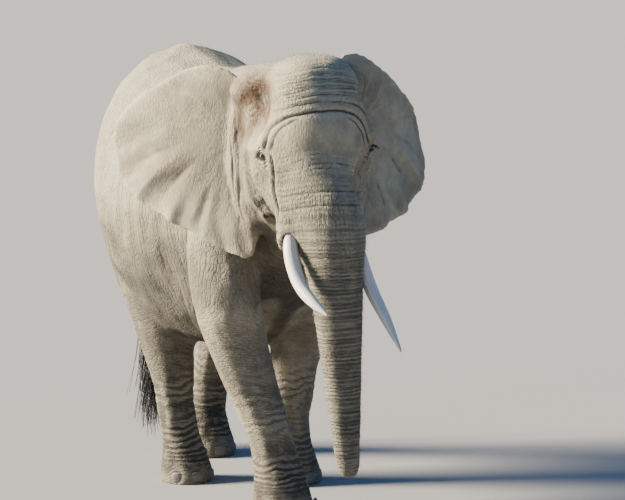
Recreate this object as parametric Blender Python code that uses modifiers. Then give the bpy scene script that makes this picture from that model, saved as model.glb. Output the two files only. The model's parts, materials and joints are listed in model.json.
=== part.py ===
"""A life-size African elephant, walking, as a still model that stands on its four soles.

Metres, +Z up. The animal faces -Y, and +X is its left. The floor is z = 0.
Places are given as (x, forward, z): x to its left of the spine, forward of the fore girdle.
The head has a frame of its own, turned a little to its right about the base of the neck.

The flesh is lofted in a few lengths, fused into one skin, and then parted by thin cuts.
"""

import math

import bmesh
import bpy
import numpy as np
from mathutils import Matrix, Vector
from mathutils.bvhtree import BVHTree

# ---------------------------------------------------------------- driving dimensions
GIRDLE_Y = -0.328           # where the fore girdle lies in the part's own frame
MIDLINE_X = -0.048          # where the spine lies, so that the box is centred
HEAD_TURN = math.radians(8.0)
HEAD_PIVOT = 0.20           # forward of the fore girdle

CUT = 0.0004                # width of the cuts between two nodes
SOCKET_GAP = 0.0010         # room round what is set into the flesh
VOXEL = 0.022               # grain at which the lengths of flesh are fused
FLESH_TRIANGLES = 2640
PLAIN_WEIGHT = 1.0          # how readily the plain parts of the flesh lose triangles
DETAIL_WEIGHT = 0.78        # and the head, trunk and feet
DETAIL_AHEAD = 0.55         # the head and trunk lie this far or more before the fore girdle
DETAIL_LOW = 0.30           # and the feet below this height

EYE_RADIUS = 0.021
EYE_PLACE = (0.335, 0.70, 2.06)      # head frame: half the distance between the eyes, reach, height
TUSK_APART = {-1: 0.228, 1: 0.122}   # each tusk's mouth from the middle of the face, right and left
TRUNK_TIP_Z = 0.32
TAIL_END = (0.012, -2.09, 0.80)      # where the flesh of the tail ends and its long hairs begin
EAR_THICKNESS = 0.024
EAR_RIM_SHARE = 0.45                 # thickness of an ear's rim, of its middle's

# Each station is (place along the axis, x, middle, half width, plus, minus, power): the section's
# widest line lies at middle, and it reaches plus above (or before) it and minus below (or behind).
TORSO = [
    # forward, x, widest z, half width, up, down, power
    (0.84, -0.090, 1.96, 0.25, 0.30, 0.34, 2.0),
    (0.60, -0.060, 1.94, 0.32, 0.43, 0.46, 2.0),
    (0.38, -0.028, 1.88, 0.36, 0.47, 0.54, 2.0),
    (0.15, -0.005, 1.78, 0.41, 0.62, 0.66, 2.0),
    (-0.05, 0.0, 1.70, 0.46, 0.74, 0.75, 1.95),
    (-0.30, 0.0, 1.62, 0.53, 0.78, 0.78, 1.95),
    (-0.60, 0.0, 1.58, 0.605, 0.78, 0.79, 2.0),
    (-0.90, 0.0, 1.60, 0.642, 0.79, 0.82, 2.0),
    (-1.20, 0.0, 1.65, 0.610, 0.80, 0.82, 1.95),
    (-1.48, 0.0, 1.72, 0.505, 0.68, 0.72, 1.95),
    (-1.72, 0.0, 1.73, 0.380, 0.53, 0.52, 1.95),
    (-1.90, 0.0, 1.76, 0.260, 0.30, 0.33, 2.0),
    (-1.97, 0.0, 1.77, 0.140, 0.13, 0.16, 2.0),
]

HEAD_AND_TRUNK = [
    # z, x, widest reach, half width, before, behind, power
    (2.578, 0.0, 0.72, 0.080, 0.10, 0.13, 2.0),
    (2.550, 0.0, 0.72, 0.160, 0.18, 0.24, 2.0),
    (2.470, 0.0, 0.70, 0.225, 0.26, 0.36, 2.1),
    (2.360, 0.0, 0.67, 0.270, 0.325, 0.46, 2.2),
    (2.200, 0.0, 0.64, 0.305, 0.375, 0.46, 2.2),
    (2.050, 0.0, 0.62, 0.330, 0.420, 0.42, 2.1),
    (1.900, 0.0, 0.64, 0.320, 0.460, 0.38, 2.0),
    (1.770, 0.0, 0.73, 0.275, 0.425, 0.36, 2.0),
    (1.630, 0.0, 0.86, 0.208, 0.320, 0.26, 2.1),
    (1.500, 0.0, 0.95, 0.168, 0.220, 0.17, 2.2),
    (1.350, 0.0, 0.99, 0.145, 0.165, 0.135, 2.3),
    (1.070, 0.0, 1.02, 0.120, 0.120, 0.115, 2.3),
    (0.700, 0.0, 1.04, 0.090, 0.085, 0.085, 2.3),
    (0.480, 0.0, 1.05, 0.074, 0.068, 0.068, 2.2),
    (0.370, 0.0, 1.055, 0.068, 0.062, 0.060, 2.1),
    (TRUNK_TIP_Z, 0.0, 1.06, 0.046, 0.046, 0.040, 2.0),
]

# Legs: (z, x, forward, half width, before, behind, power), from inside the body to under the floor.
LEGS = {
    "foreleg_right": [
        (1.85, -0.26, 0.02, 0.16, 0.24, 0.24, 2.0),
        (1.55, -0.34, 0.06, 0.18, 0.27, 0.27, 2.0),
        (1.25, -0.37, 0.14, 0.180, 0.24, 0.25, 2.0),
        (1.08, -0.365, 0.18, 0.178, 0.20, 0.23, 2.0),
        (0.92, -0.335, 0.19, 0.170, 0.170, 0.20, 2.0),
        (0.68, -0.275, 0.225, 0.145, 0.145, 0.155, 2.1),
        (0.50, -0.230, 0.275, 0.130, 0.135, 0.135, 2.1),
        (0.36, -0.205, 0.300, 0.122, 0.125, 0.130, 2.1),
        (0.22, -0.185, 0.325, 0.138, 0.145, 0.145, 2.1),
        (0.10, -0.172, 0.345, 0.168, 0.178, 0.168, 2.1),
        (0.03, -0.170, 0.350, 0.182, 0.192, 0.178, 2.1),
        (-0.05, -0.170, 0.350, 0.178, 0.186, 0.172, 2.1),
    ],
    "foreleg_left": [
        (1.85, 0.26, -0.02, 0.16, 0.24, 0.24, 2.0),
        (1.55, 0.34, -0.06, 0.18, 0.27, 0.27, 2.0),
        (1.25, 0.35, -0.17, 0.180, 0.24, 0.25, 2.0),
        (1.08, 0.32, -0.26, 0.178, 0.21, 0.22, 2.0),
        (0.92, 0.285, -0.34, 0.168, 0.18, 0.19, 2.0),
        (0.68, 0.235, -0.42, 0.142, 0.145, 0.155, 2.1),
        (0.50, 0.215, -0.455, 0.130, 0.132, 0.138, 2.1),
        (0.36, 0.205, -0.485, 0.122, 0.125, 0.130, 2.1),
        (0.22, 0.200, -0.495, 0.138, 0.145, 0.145, 2.1),
        (0.10, 0.200, -0.495, 0.168, 0.178, 0.168, 2.1),
        (0.03, 0.200, -0.490, 0.182, 0.192, 0.178, 2.1),
        (-0.05, 0.200, -0.490, 0.178, 0.186, 0.172, 2.1),
    ],
    "hindleg_right": [
        (1.80, -0.22, -1.40, 0.20, 0.34, 0.26, 2.0),
        (1.50, -0.28, -1.34, 0.21, 0.36, 0.34, 2.0),
        (1.25, -0.305, -1.22, 0.205, 0.32, 0.31, 2.0),
        (1.02, -0.305, -1.10, 0.182, 0.24, 0.25, 2.0),
        (0.82, -0.288, -1.035, 0.152, 0.175, 0.195, 2.0),
        (0.64, -0.275, -1.02, 0.126, 0.132, 0.155, 2.0),
        (0.46, -0.265, -1.02, 0.110, 0.112, 0.126, 2.0),
        (0.30, -0.258, -0.990, 0.106, 0.107, 0.118, 2.0),
        (0.18, -0.252, -0.960, 0.120, 0.130, 0.135, 2.1),
        (0.08, -0.250, -0.945, 0.140, 0.175, 0.160, 2.1),
        (0.02, -0.250, -0.940, 0.148, 0.188, 0.168, 2.1),
        (-0.05, -0.250, -0.940, 0.144, 0.182, 0.162, 2.1),
    ],
    "hindleg_left": [
        (1.80, 0.22, -1.46, 0.20, 0.34, 0.26, 2.0),
        (1.50, 0.28, -1.48, 0.21, 0.38, 0.32, 2.0),
        (1.25, 0.31, -1.47, 0.205, 0.34, 0.31, 2.0),
        (1.02, 0.305, -1.47, 0.182, 0.25, 0.26, 2.0),
        (0.82, 0.255, -1.51, 0.150, 0.180, 0.200, 2.0),
        (0.64, 0.228, -1.58, 0.124, 0.138, 0.160, 2.0),
        (0.46, 0.210, -1.67, 0.108, 0.115, 0.128, 2.0),
        (0.30, 0.195, -1.70, 0.104, 0.107, 0.118, 2.0),
        (0.18, 0.185, -1.69, 0.118, 0.130, 0.135, 2.1),
        (0.08, 0.180, -1.68, 0.140, 0.175, 0.160, 2.1),
        (0.02, 0.180, -1.68, 0.148, 0.188, 0.168, 2.1),
        (-0.05, 0.180, -1.68, 0.144, 0.182, 0.162, 2.1),
    ],
}
LEG_CUTS = {"fore": (1.16, 0.66, 0.25), "hind": (1.10, 0.56, 0.22)}
NAIL_ANGLES = {"fore": (-54.0, -18.0, 18.0, 54.0), "hind": (-40.0, 0.0, 40.0)}
NAIL_SIZE = (0.042, 0.020, 0.037)   # half breadth, half depth, half height
NAIL_RAISE = 0.004                  # from the sole to a nail's lower edge
HIND_NAIL_SCALE = 0.92

# Ears: (out from the root line, height), anticlockwise from the top for the one on the left.
EAR_OUTLINES = {
    "right": [
        (0.04, 2.43), (0.27, 2.51), (0.52, 2.42), (0.73, 2.28), (0.83, 2.13), (0.85, 2.02),
        (0.78, 1.88), (0.68, 1.76), (0.50, 1.65), (0.31, 1.55), (0.13, 1.47), (0.01, 1.46),
        (-0.04, 1.58), (-0.03, 1.76), (-0.02, 1.95), (-0.02, 2.22),
    ],
    "left": [
        (0.0, 2.46), (0.15, 2.52), (0.37, 2.39), (0.56, 2.22), (0.71, 2.05), (0.82, 1.87),
        (0.75, 1.77), (0.65, 1.69), (0.48, 1.61), (0.29, 1.55), (0.12, 1.51), (0.0, 1.52),
        (-0.04, 1.60), (-0.03, 1.76), (-0.02, 1.95), (-0.02, 2.22),
    ],
}
EAR_SWEEP = {"right": math.radians(56.0), "left": math.radians(40.0)}
EAR_CAMBER = {"right": 0.05, "left": 0.07}
EAR_ROOT = [(0.270, 0.30, 2.42), (0.315, 0.27, 2.20), (0.335, 0.26, 2.00), (0.335, 0.29, 1.80),
            (0.300, 0.36, 1.62)]

COLOURS = {  # colour, roughness, metallic
    "hide": ((0.23, 0.205, 0.185), 0.85, 0.0),
    "ivory": ((0.72, 0.66, 0.55), 0.42, 0.0),
    "nail": ((0.38, 0.33, 0.27), 0.60, 0.0),
    "eye": ((0.05, 0.028, 0.014), 0.08, 0.0),
    "hair": ((0.018, 0.016, 0.015), 0.55, 0.0),
}


# ---------------------------------------------------------------- places
def body_place(x, forward, z):
    return Vector((MIDLINE_X + x, GIRDLE_Y - forward, z))


def head_place(x, reach, z):
    """A place in the head's own frame, which is turned to the animal's right."""
    cosine, sine = math.cos(HEAD_TURN), math.sin(HEAD_TURN)
    return body_place(x * cosine - reach * sine, HEAD_PIVOT + reach * cosine + x * sine, z)


# ---------------------------------------------------------------- building blocks
def spline(rows, steps):
    """Rows of numbers joined by a Catmull-Rom curve, each span cut into steps."""
    rows = np.array(rows, float)
    padded = np.vstack([2 * rows[0] - rows[1], rows, 2 * rows[-1] - rows[-2]])
    out = []
    for i in range(len(rows) - 1):
        a, b, c, d = padded[i:i + 4]
        for t in np.arange(steps) / steps:
            out.append(0.5 * (2 * b + (c - a) * t + (2 * a - 5 * b + 4 * c - d) * t**2
                              + (3 * b - a - 3 * c + d) * t**3))
    out.append(rows[-1])
    return np.array(out)


def closed_spline(points, steps):
    points = np.array(points, float)
    count = len(points)
    out = []
    for i in range(count):
        a, b, c, d = (points[(i + k) % count] for k in (-1, 0, 1, 2))
        for t in np.arange(steps) / steps:
            out.append(0.5 * (2 * b + (c - a) * t + (2 * a - 5 * b + 4 * c - d) * t**2
                              + (3 * b - a - 3 * c + d) * t**3))
    return np.array(out)


def mesh_object(name, bm):
    bmesh.ops.recalc_face_normals(bm, faces=bm.faces)
    if bm.calc_volume(signed=True) < 0:
        bmesh.ops.reverse_faces(bm, faces=bm.faces)
    mesh = bpy.data.meshes.new(name)
    bm.to_mesh(mesh)
    bm.free()
    made = bpy.data.objects.new(name, mesh)
    bpy.context.scene.collection.objects.link(made)
    return made


def skin_rings(name, rings):
    """A closed body through rings of as many points each."""
    bm = bmesh.new()
    rows = [[bm.verts.new(p) for p in ring] for ring in rings]
    sides = len(rows[0])
    for low, high in zip(rows, rows[1:]):
        for i in range(sides):
            bm.faces.new((low[i], low[(i + 1) % sides], high[(i + 1) % sides], high[i]))
    bm.faces.new(rows[0])
    bm.faces.new(rows[-1])
    return mesh_object(name, bm)


def section(half_width, plus, minus, power, sides):
    """Points (across, other way) of a rounded section."""
    angles = np.arange(sides) * 2 * math.pi / sides
    for angle in angles:
        c, s = math.cos(angle), math.sin(angle)
        across = half_width * math.copysign(abs(c) ** (2 / power), c)
        other = (plus if s > 0 else minus) * math.copysign(abs(s) ** (2 / power), s)
        yield across, other


def loft(name, stations, place, upright, sides=40, steps=5):
    """Stations to a closed body. Sections are level if upright, and else stand across the spine."""
    rings = []
    for along, x, middle, half_width, plus, minus, power in spline(stations, steps):
        ring = []
        for across, other in section(half_width, plus, minus, power, sides):
            if upright:
                ring.append(place(x + across, middle + other, along))
            else:
                ring.append(place(x + across, along, middle + other))
        rings.append(ring)
    return skin_rings(name, rings)


def tube(name, points, radii, sides=16, steps=5):
    """A round body along a curve through points."""
    rows = spline([(*p, r) for p, r in zip(points, radii)], steps)
    centres = [Vector(row[:3]) for row in rows]
    rings = []
    for i, centre in enumerate(centres):
        ahead = centres[min(i + 1, len(centres) - 1)] - centres[max(i - 1, 0)]
        turn = ahead.to_track_quat("Z", "X")
        radius = rows[i][3]
        rings.append([centre + turn @ Vector((radius * math.cos(a), radius * math.sin(a), 0.0))
                      for a in np.arange(sides) * 2 * math.pi / sides])
    return skin_rings(name, rings)


def box(name, low, high, tilt=0.0, pivot=(0.0, 0.0, 0.0), place=body_place):
    """A cutting block between two corners, leaning forward by tilt degrees about the pivot."""
    bm = bmesh.new()
    bmesh.ops.create_cube(bm, size=1.0)
    for vert in bm.verts:
        spot = [low[i] if vert.co[i] < 0 else high[i] for i in range(3)]
        ahead, up = spot[1] - pivot[1], spot[2] - pivot[2]
        angle = math.radians(tilt)
        spot[1] = pivot[1] + ahead * math.cos(angle) + up * math.sin(angle)
        spot[2] = pivot[2] - ahead * math.sin(angle) + up * math.cos(angle)
        vert.co = place(*spot)
    return mesh_object(name, bm)


def grown(block, by):
    """A copy of a convex block, with each side moved out."""
    bm = bmesh.new()
    bm.from_mesh(block.data)
    bm.normal_update()
    moved = {}
    for vert in bm.verts:
        rows = np.array([face.normal[:] for face in vert.link_faces])
        moved[vert] = Vector(np.linalg.lstsq(rows, np.full(len(rows), by), rcond=None)[0])
    for vert, shift in moved.items():
        vert.co += shift
    return mesh_object(block.name + "_grown", bm)


def evaluated(target):
    """The object's mesh with its modifiers applied."""
    graph = bpy.context.evaluated_depsgraph_get()
    mesh = bpy.data.meshes.new_from_object(target.evaluated_get(graph), depsgraph=graph)
    old = target.data
    target.modifiers.clear()
    target.data = mesh
    if old.users == 0:
        bpy.data.meshes.remove(old)
    return target


def copied(source, name):
    made = bpy.data.objects.new(name, source.data.copy())
    bpy.context.scene.collection.objects.link(made)
    return made


def swollen(source, by):
    """A copy whose surface stands out by about that much all over."""
    made = triangulated(copied(source, source.name + "_swollen"))
    normals = [normal.vector.copy() for normal in made.data.vertex_normals]
    for vert, normal in zip(made.data.vertices, normals):
        vert.co += normal * by
    return made


def discard(*objects):
    for each in objects:
        bpy.data.objects.remove(each)


def triangulated(target):
    bm = bmesh.new()
    bm.from_mesh(target.data)
    bmesh.ops.triangulate(bm, faces=bm.faces)
    bm.to_mesh(target.data)
    bm.free()
    return target


def boolean(target, other, operation):
    cutter = target.modifiers.new("cut", "BOOLEAN")
    cutter.operation = operation
    cutter.solver = "EXACT"
    cutter.object = other
    return evaluated(target)


def main_body(target):
    """Only the largest body is kept of what a cut leaves."""
    bm = bmesh.new()
    bm.from_mesh(target.data)
    bm.verts.index_update()
    seen, bodies = set(), []
    for start in bm.verts:
        if start in seen:
            continue
        body, front = {start}, [start]
        while front:
            vert = front.pop()
            for edge in vert.link_edges:
                beyond = edge.other_vert(vert)
                if beyond not in body:
                    body.add(beyond)
                    front.append(beyond)
        seen |= body
        bodies.append(body)
    largest = max(bodies, key=len)
    loose = [vert for body in bodies if body is not largest for vert in body]
    bmesh.ops.delete(bm, geom=loose, context="VERTS")
    bm.to_mesh(target.data)
    bm.free()
    return target


def join(name, pieces):
    bm = bmesh.new()
    for piece in pieces:
        bm.from_mesh(piece.data)
    joined = bpy.data.meshes.new(name)
    bm.to_mesh(joined)
    bm.free()
    discard(*pieces)
    made = bpy.data.objects.new(name, joined)
    bpy.context.scene.collection.objects.link(made)
    return made


def swell(points, centre, radius, shift):
    """Moves the points near a place, most at its middle."""
    away = points - np.array(centre)
    weight = np.exp(-(away**2).sum(axis=1) / (2 * radius**2))
    points += weight[:, None] * np.array(shift)


# ---------------------------------------------------------------- the flesh
def lower_jaw():
    spots = [(0.0, 0.36, 1.70), (0.0, 0.52, 1.62), (0.0, 0.68, 1.52), (0.0, 0.80, 1.43),
             (0.0, 0.85, 1.385)]
    return tube("jaw_shape", [head_place(*s) for s in spots], [0.20, 0.17, 0.115, 0.06, 0.03])


def tusk_sheath(side):
    apart = TUSK_APART[side]
    spots = [(0.13, 0.78, 1.88), (0.79 * apart, 0.84, 1.75), (apart - 0.01, 0.90, 1.62),
             (apart, 0.94, 1.565)]
    places = [head_place(side * x, reach, z) for x, reach, z in spots]
    return tube("sheath_shape", places, [0.09, 0.092, 0.078, 0.062])


def ear_base(side):
    places = [head_place(side * (x - 0.025), reach + 0.03, z) for x, reach, z in EAR_ROOT]
    return tube("ear_base_shape", places, [0.075, 0.095, 0.095, 0.080, 0.050])


def crest(side):
    """From the crown down to the top of the ear, behind the temple."""
    spots = [(0.08, 0.60, 2.44), (0.18, 0.46, 2.41), (0.26, 0.37, 2.375), (0.31, 0.31, 2.32)]
    places = [head_place(side * x, reach, z) for x, reach, z in spots]
    return tube("crest_shape", places, [0.11, 0.12, 0.115, 0.09])


def cheek(side):
    spots = [(0.16, 0.40, 2.05), (0.19, 0.46, 1.85), (0.18, 0.56, 1.70)]
    places = [head_place(side * x, reach, z) for x, reach, z in spots]
    return tube("cheek_shape", places, [0.13, 0.14, 0.10])


def tail_root():
    spots = [(0.0, -1.70, 2.12), (0.0, -1.86, 2.06), (0.0, -1.95, 1.97), (0.0, -1.985, 1.88)]
    return tube("tail_root_shape", [body_place(*s) for s in spots], [0.10, 0.095, 0.08, 0.05])


def fused_flesh():
    """All lengths of flesh as one closed skin."""
    pieces = [
        loft("torso_shape", TORSO, body_place, upright=False, sides=56),
        loft("head_shape", HEAD_AND_TRUNK, head_place, upright=True, sides=48),
        lower_jaw(),
        tail_root(),
    ]
    for side in (-1, 1):
        pieces += [tusk_sheath(side), ear_base(side), crest(side), cheek(side)]
    for name, stations in LEGS.items():
        pieces.append(loft(name + "_shape", stations, body_place, upright=True))
    flesh = join("flesh", pieces)
    remesh = flesh.modifiers.new("fuse", "REMESH")
    remesh.mode = "VOXEL"
    remesh.voxel_size = VOXEL
    relax = flesh.modifiers.new("relax", "SMOOTH")
    relax.factor = 0.5
    relax.iterations = 6
    return evaluated(flesh)


def carve(flesh):
    """Hollows and swellings that the lofts leave out."""
    count = len(flesh.data.vertices)
    points = np.empty(count * 3)
    flesh.data.vertices.foreach_get("co", points)
    points = points.reshape(-1, 3)
    inward = {side: head_place(-side, 0.0, 0.0) - head_place(0.0, 0.0, 0.0) for side in (-1, 1)}
    forward = head_place(0.0, 1.0, 0.0) - head_place(0.0, 0.0, 0.0)
    for side in (-1, 1):
        def at(x, reach, z):
            return head_place(side * x, reach, z)

        swell(points, at(0.29, 0.66, 2.29), 0.085, inward[side] * 0.042)     # temple hollow
        swell(points, at(0.31, 0.76, 2.135), 0.048, inward[side] * -0.022)   # brow
        swell(points, at(0.33, 0.70, 2.06), 0.030, inward[side] * 0.014)     # eye socket
        swell(points, at(0.32, 0.60, 1.95), 0.070, inward[side] * -0.016)    # cheek bone
        swell(points, at(0.25, 0.90, 1.95), 0.060, inward[side] * 0.022)     # before the eye
        swell(points, body_place(side * 0.55, -0.35, 1.25), 0.14,
              Vector((-side, 0, 0)) * 0.035)                                 # behind the elbow
        swell(points, body_place(side * 0.50, -1.05, 1.95), 0.16,
              Vector((-side, 0, 0)) * 0.030)                                 # before the hip
    swell(points, head_place(0.26, 0.84, 1.90), 0.100, inward[1] * 0.085)    # left of the trunk's root
    swell(points, head_place(-0.26, 0.84, 1.90), 0.080, inward[1] * 0.016)   # and right of it
    swell(points, head_place(0.0, 1.00, 2.26), 0.10, forward * 0.015)        # forehead
    swell(points, head_place(0.0, 1.12, 1.84), 0.08, forward * 0.020)        # root of the trunk
    flesh.data.vertices.foreach_set("co", points.ravel())
    flesh.data.update()


def thinned(flesh):
    """Fewer triangles, with more of them left on the head, trunk and feet."""
    group = flesh.vertex_groups.new(name="plain")
    for vert in flesh.data.vertices:
        detailed = GIRDLE_Y - vert.co.y > DETAIL_AHEAD or vert.co.z < DETAIL_LOW
        group.add([vert.index], DETAIL_WEIGHT if detailed else PLAIN_WEIGHT, "REPLACE")
    triangles = 2 * len(flesh.data.polygons)
    thin = flesh.modifiers.new("thin", "DECIMATE")
    thin.ratio = FLESH_TRIANGLES / triangles
    thin.vertex_group = group.name
    return triangulated(evaluated(flesh))


# ---------------------------------------------------------------- what is set into the flesh
def tree_of(target):
    bm = bmesh.new()
    bm.from_mesh(target.data)
    tree = BVHTree.FromBMesh(bm)
    bm.free()
    return tree


def ellipsoid(name, centre, turn, sizes, segments, rings):
    bm = bmesh.new()
    bmesh.ops.create_uvsphere(bm, u_segments=segments, v_segments=rings, radius=1.0)
    for vert in bm.verts:
        vert.co = centre + turn @ Vector([c * s for c, s in zip(vert.co, sizes)])
    return mesh_object(name, bm)


def eye(side, tree):
    """The eyeball, a third of it out of the socket."""
    x, reach, z = EYE_PLACE
    outside = head_place(side * (x + 0.3), reach + 0.12, z)
    inside = head_place(0.0, reach, z)
    surface, _, _, _ = tree.ray_cast(outside, (inside - outside).normalized())
    centre = surface + (inside - outside).normalized() * EYE_RADIUS * 0.55
    sizes = [EYE_RADIUS] * 3
    name = "eye_left" if side > 0 else "eye_right"
    return ellipsoid(name, centre, Matrix.Identity(3), sizes, 10, 6)


def tusk(side):
    """The left tusk is longer and straighter than the right one."""
    root = head_place(side * 0.75 * TUSK_APART[side], 0.85, 1.80)
    mouth = head_place(side * (TUSK_APART[side] + 0.004), 0.955, 1.575)
    if side < 0:
        spots = [root, mouth, body_place(-0.375, 1.24, 1.40), body_place(-0.355, 1.38, 1.31),
                 body_place(-0.324, 1.50, 1.250)]
        radii = [0.036, 0.046, 0.042, 0.034, 0.010]
        name = "tusk_right"
    else:
        spots = [root, mouth, body_place(0.032, 1.25, 1.34), body_place(0.064, 1.38, 1.17),
                 body_place(0.091, 1.50, 1.005)]
        radii = [0.036, 0.046, 0.042, 0.033, 0.010]
        name = "tusk_left"
    return tube(name, spots, radii, sides=10, steps=3)


def nail(leg, number, angle, tree):
    """A nail half sunk in the rim of a foot. Angle is from straight ahead, in degrees."""
    _, x, forward, half_width, before, _, _ = LEGS[leg][-3]
    kind = leg[:4]
    height = NAIL_SIZE[2] + NAIL_RAISE
    bearing = math.radians(angle)
    outward = Vector((math.sin(bearing), -math.cos(bearing), 0.0))
    middle = body_place(x, forward, height)
    surface, _, _, _ = tree.ray_cast(middle + outward * 0.26, -outward)
    turn = Matrix.Rotation(bearing, 3, "Z")
    scale = 1.0 if kind == "fore" else HIND_NAIL_SCALE
    sizes = [s * scale for s in NAIL_SIZE]
    centre = surface - outward * NAIL_SIZE[1] * 0.35
    centre.z = height
    return ellipsoid(f"{leg}_nail_{number}", centre, turn, sizes, 8, 4)


def ear(name, side, outline, sweep, camber):
    """A thin curved sheet, thickest at its root line and folded back along its top."""
    roots = spline(EAR_ROOT, 8)
    rim = closed_spline(outline, 4)
    hub = np.array([0.22, 2.00])
    rings = [rim * share + hub * (1 - share) for share in (1.0, 0.86, 0.68, 0.48, 0.25)]

    def place(out, z):
        x, reach = (np.interp(z, roots[::-1, 2], roots[::-1, i]) for i in (0, 1))
        root = head_place(side * x, reach, z)
        span = max(out, -0.1) / 0.85
        direction = Vector((side * math.cos(sweep), math.sin(sweep), 0.0))
        back = Vector((-side * math.sin(sweep), math.cos(sweep), 0.0))
        bow = camber * (4 * span * (1 - span)) - 0.05 * max(0.0, (z - 2.3) / 0.22) ** 2
        return root + direction * out - back * bow

    bm = bmesh.new()
    rows = [[bm.verts.new(place(*p)) for p in ring] for ring in rings]
    middle = bm.verts.new(place(*hub))
    count = len(rows[0])
    for outer, inner in zip(rows, rows[1:]):
        for i in range(count):
            j = (i + 1) % count
            bm.faces.new((outer[i], outer[j], inner[j], inner[i]))
    for i in range(count):
        bm.faces.new((rows[-1][i], rows[-1][(i + 1) % count], middle))
    sheet = mesh_object(name, bm)
    thickness = sheet.vertex_groups.new(name="thickness")
    for row, share in zip(range(len(rings)), (EAR_RIM_SHARE, 0.70, 0.85, 0.95, 1.0)):
        thickness.add(list(range(row * count, (row + 1) * count)), share, "REPLACE")
    thickness.add([len(rings) * count], 1.0, "REPLACE")
    thin = sheet.modifiers.new("thin", "DECIMATE")
    thin.ratio = 0.27
    solid = sheet.modifiers.new("solid", "SOLIDIFY")
    solid.thickness = EAR_THICKNESS
    solid.offset = 0.0
    solid.vertex_group = thickness.name
    solid.thickness_vertex_group = 0.05
    return evaluated(sheet)


def tail():
    spots = [(0.0, -1.90, 2.04), (0.0, -1.99, 1.95), (0.0, -2.055, 1.78), (0.004, -2.09, 1.50),
             (0.009, -2.09, 1.20), (*TAIL_END[:2], 0.95), TAIL_END]
    return tube("tail", [body_place(*s) for s in spots],
                [0.066, 0.060, 0.050, 0.040, 0.031, 0.025, 0.021], sides=10, steps=2)


def tail_tuft():
    """The outer shape of the long hairs at the end of the tail, broad fore and aft."""
    x, forward, top = TAIL_END
    top -= 4 * CUT
    stations = [
        # z, x, forward, half width, before, behind, power
        (top, x, forward, 0.024, 0.028, 0.028, 2.0),
        (top - 0.14, x - 0.005, forward, 0.034, 0.055, 0.055, 2.0),
        (top - 0.30, x - 0.010, forward, 0.036, 0.070, 0.068, 2.0),
        (top - 0.44, x - 0.012, forward, 0.028, 0.055, 0.052, 2.0),
        (top - 0.58, x - 0.012, forward, 0.010, 0.020, 0.020, 2.0),
    ]
    return loft("tail_tuft", stations, body_place, upright=True, sides=8, steps=2)


# ---------------------------------------------------------------- parting the flesh
def regions():
    """Name and block of each length of flesh, in the order in which they are taken off."""
    made = []
    trunk_cuts = (1.70, 1.38, 1.04, 0.70, 0.20)
    for i, (high, low) in enumerate(zip(trunk_cuts, trunk_cuts[1:])):
        front = box("block", (-0.4, 0.815, low), (0.4, 1.6, high), place=head_place)
        made.append((f"trunk_{i + 1}", front))
    made.append(("lower_jaw", box("block", (-0.4, 0.50, 1.20), (0.4, 0.95, 1.56),
                                  tilt=-12.0, pivot=(0, 0.7, 1.5), place=head_place)))
    made.append(("head", box("block", (-0.7, 0.60, 1.0), (0.6, 1.7, 2.9),
                             tilt=-10.0, pivot=(0, 0.55, 2.0))))
    for leg, stations in LEGS.items():
        side = -1 if leg.endswith("right") else 1
        top, knee, ankle = LEG_CUTS[leg[:4]]
        across = sorted((side * 0.055, side * 0.80))
        for part, high, low in (("foot", ankle, 0.0), ("lower", knee, ankle), ("upper", top, knee)):
            near = [row for row in stations if low - 0.15 <= row[0] <= high + 0.10]
            behind = min(row[2] - row[5] for row in near) - 0.02
            ahead = max(row[2] + row[4] for row in near) + 0.02
            made.append((f"{leg}_{part}", box("block", (across[0], behind, low),
                                              (across[1], ahead, high))))
    made.append(("neck", box("block", (-0.7, 0.22, 1.22), (0.7, 1.2, 2.9),
                             tilt=-14.0, pivot=(0, 0.22, 1.9))))
    made.append(("torso", box("block", (-1.5, -3.0, 0.3), (1.5, 1.5, 3.0))))
    return made


def parted(flesh):
    """The flesh as named nodes, with a thin cut between each two."""
    nodes = {}
    rest = flesh
    for name, block in regions():
        piece = boolean(copied(rest, name), block, "INTERSECT")
        wider = grown(block, CUT)
        rest = boolean(rest, wider, "DIFFERENCE")
        discard(block, wider)
        nodes[name] = main_body(piece)
    discard(rest)
    return nodes


# ---------------------------------------------------------------- the whole animal
def material(slot):
    colour, roughness, metallic = COLOURS[slot]
    made = bpy.data.materials.new(slot)
    made.use_nodes = True
    shader = made.node_tree.nodes["Principled BSDF"]
    shader.inputs["Base Color"].default_value = (*colour, 1.0)
    shader.inputs["Roughness"].default_value = roughness
    shader.inputs["Metallic"].default_value = metallic
    return made


def finish(target, collection, slot):
    for old in list(target.users_collection):
        old.objects.unlink(target)
    collection.objects.link(target)
    target.vertex_groups.clear()
    target.data.name = target.name
    target.data.materials.clear()
    target.data.materials.append(slot)
    target.data.shade_smooth()
    target.data.set_sharp_from_angle(angle=math.radians(50.0))


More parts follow.
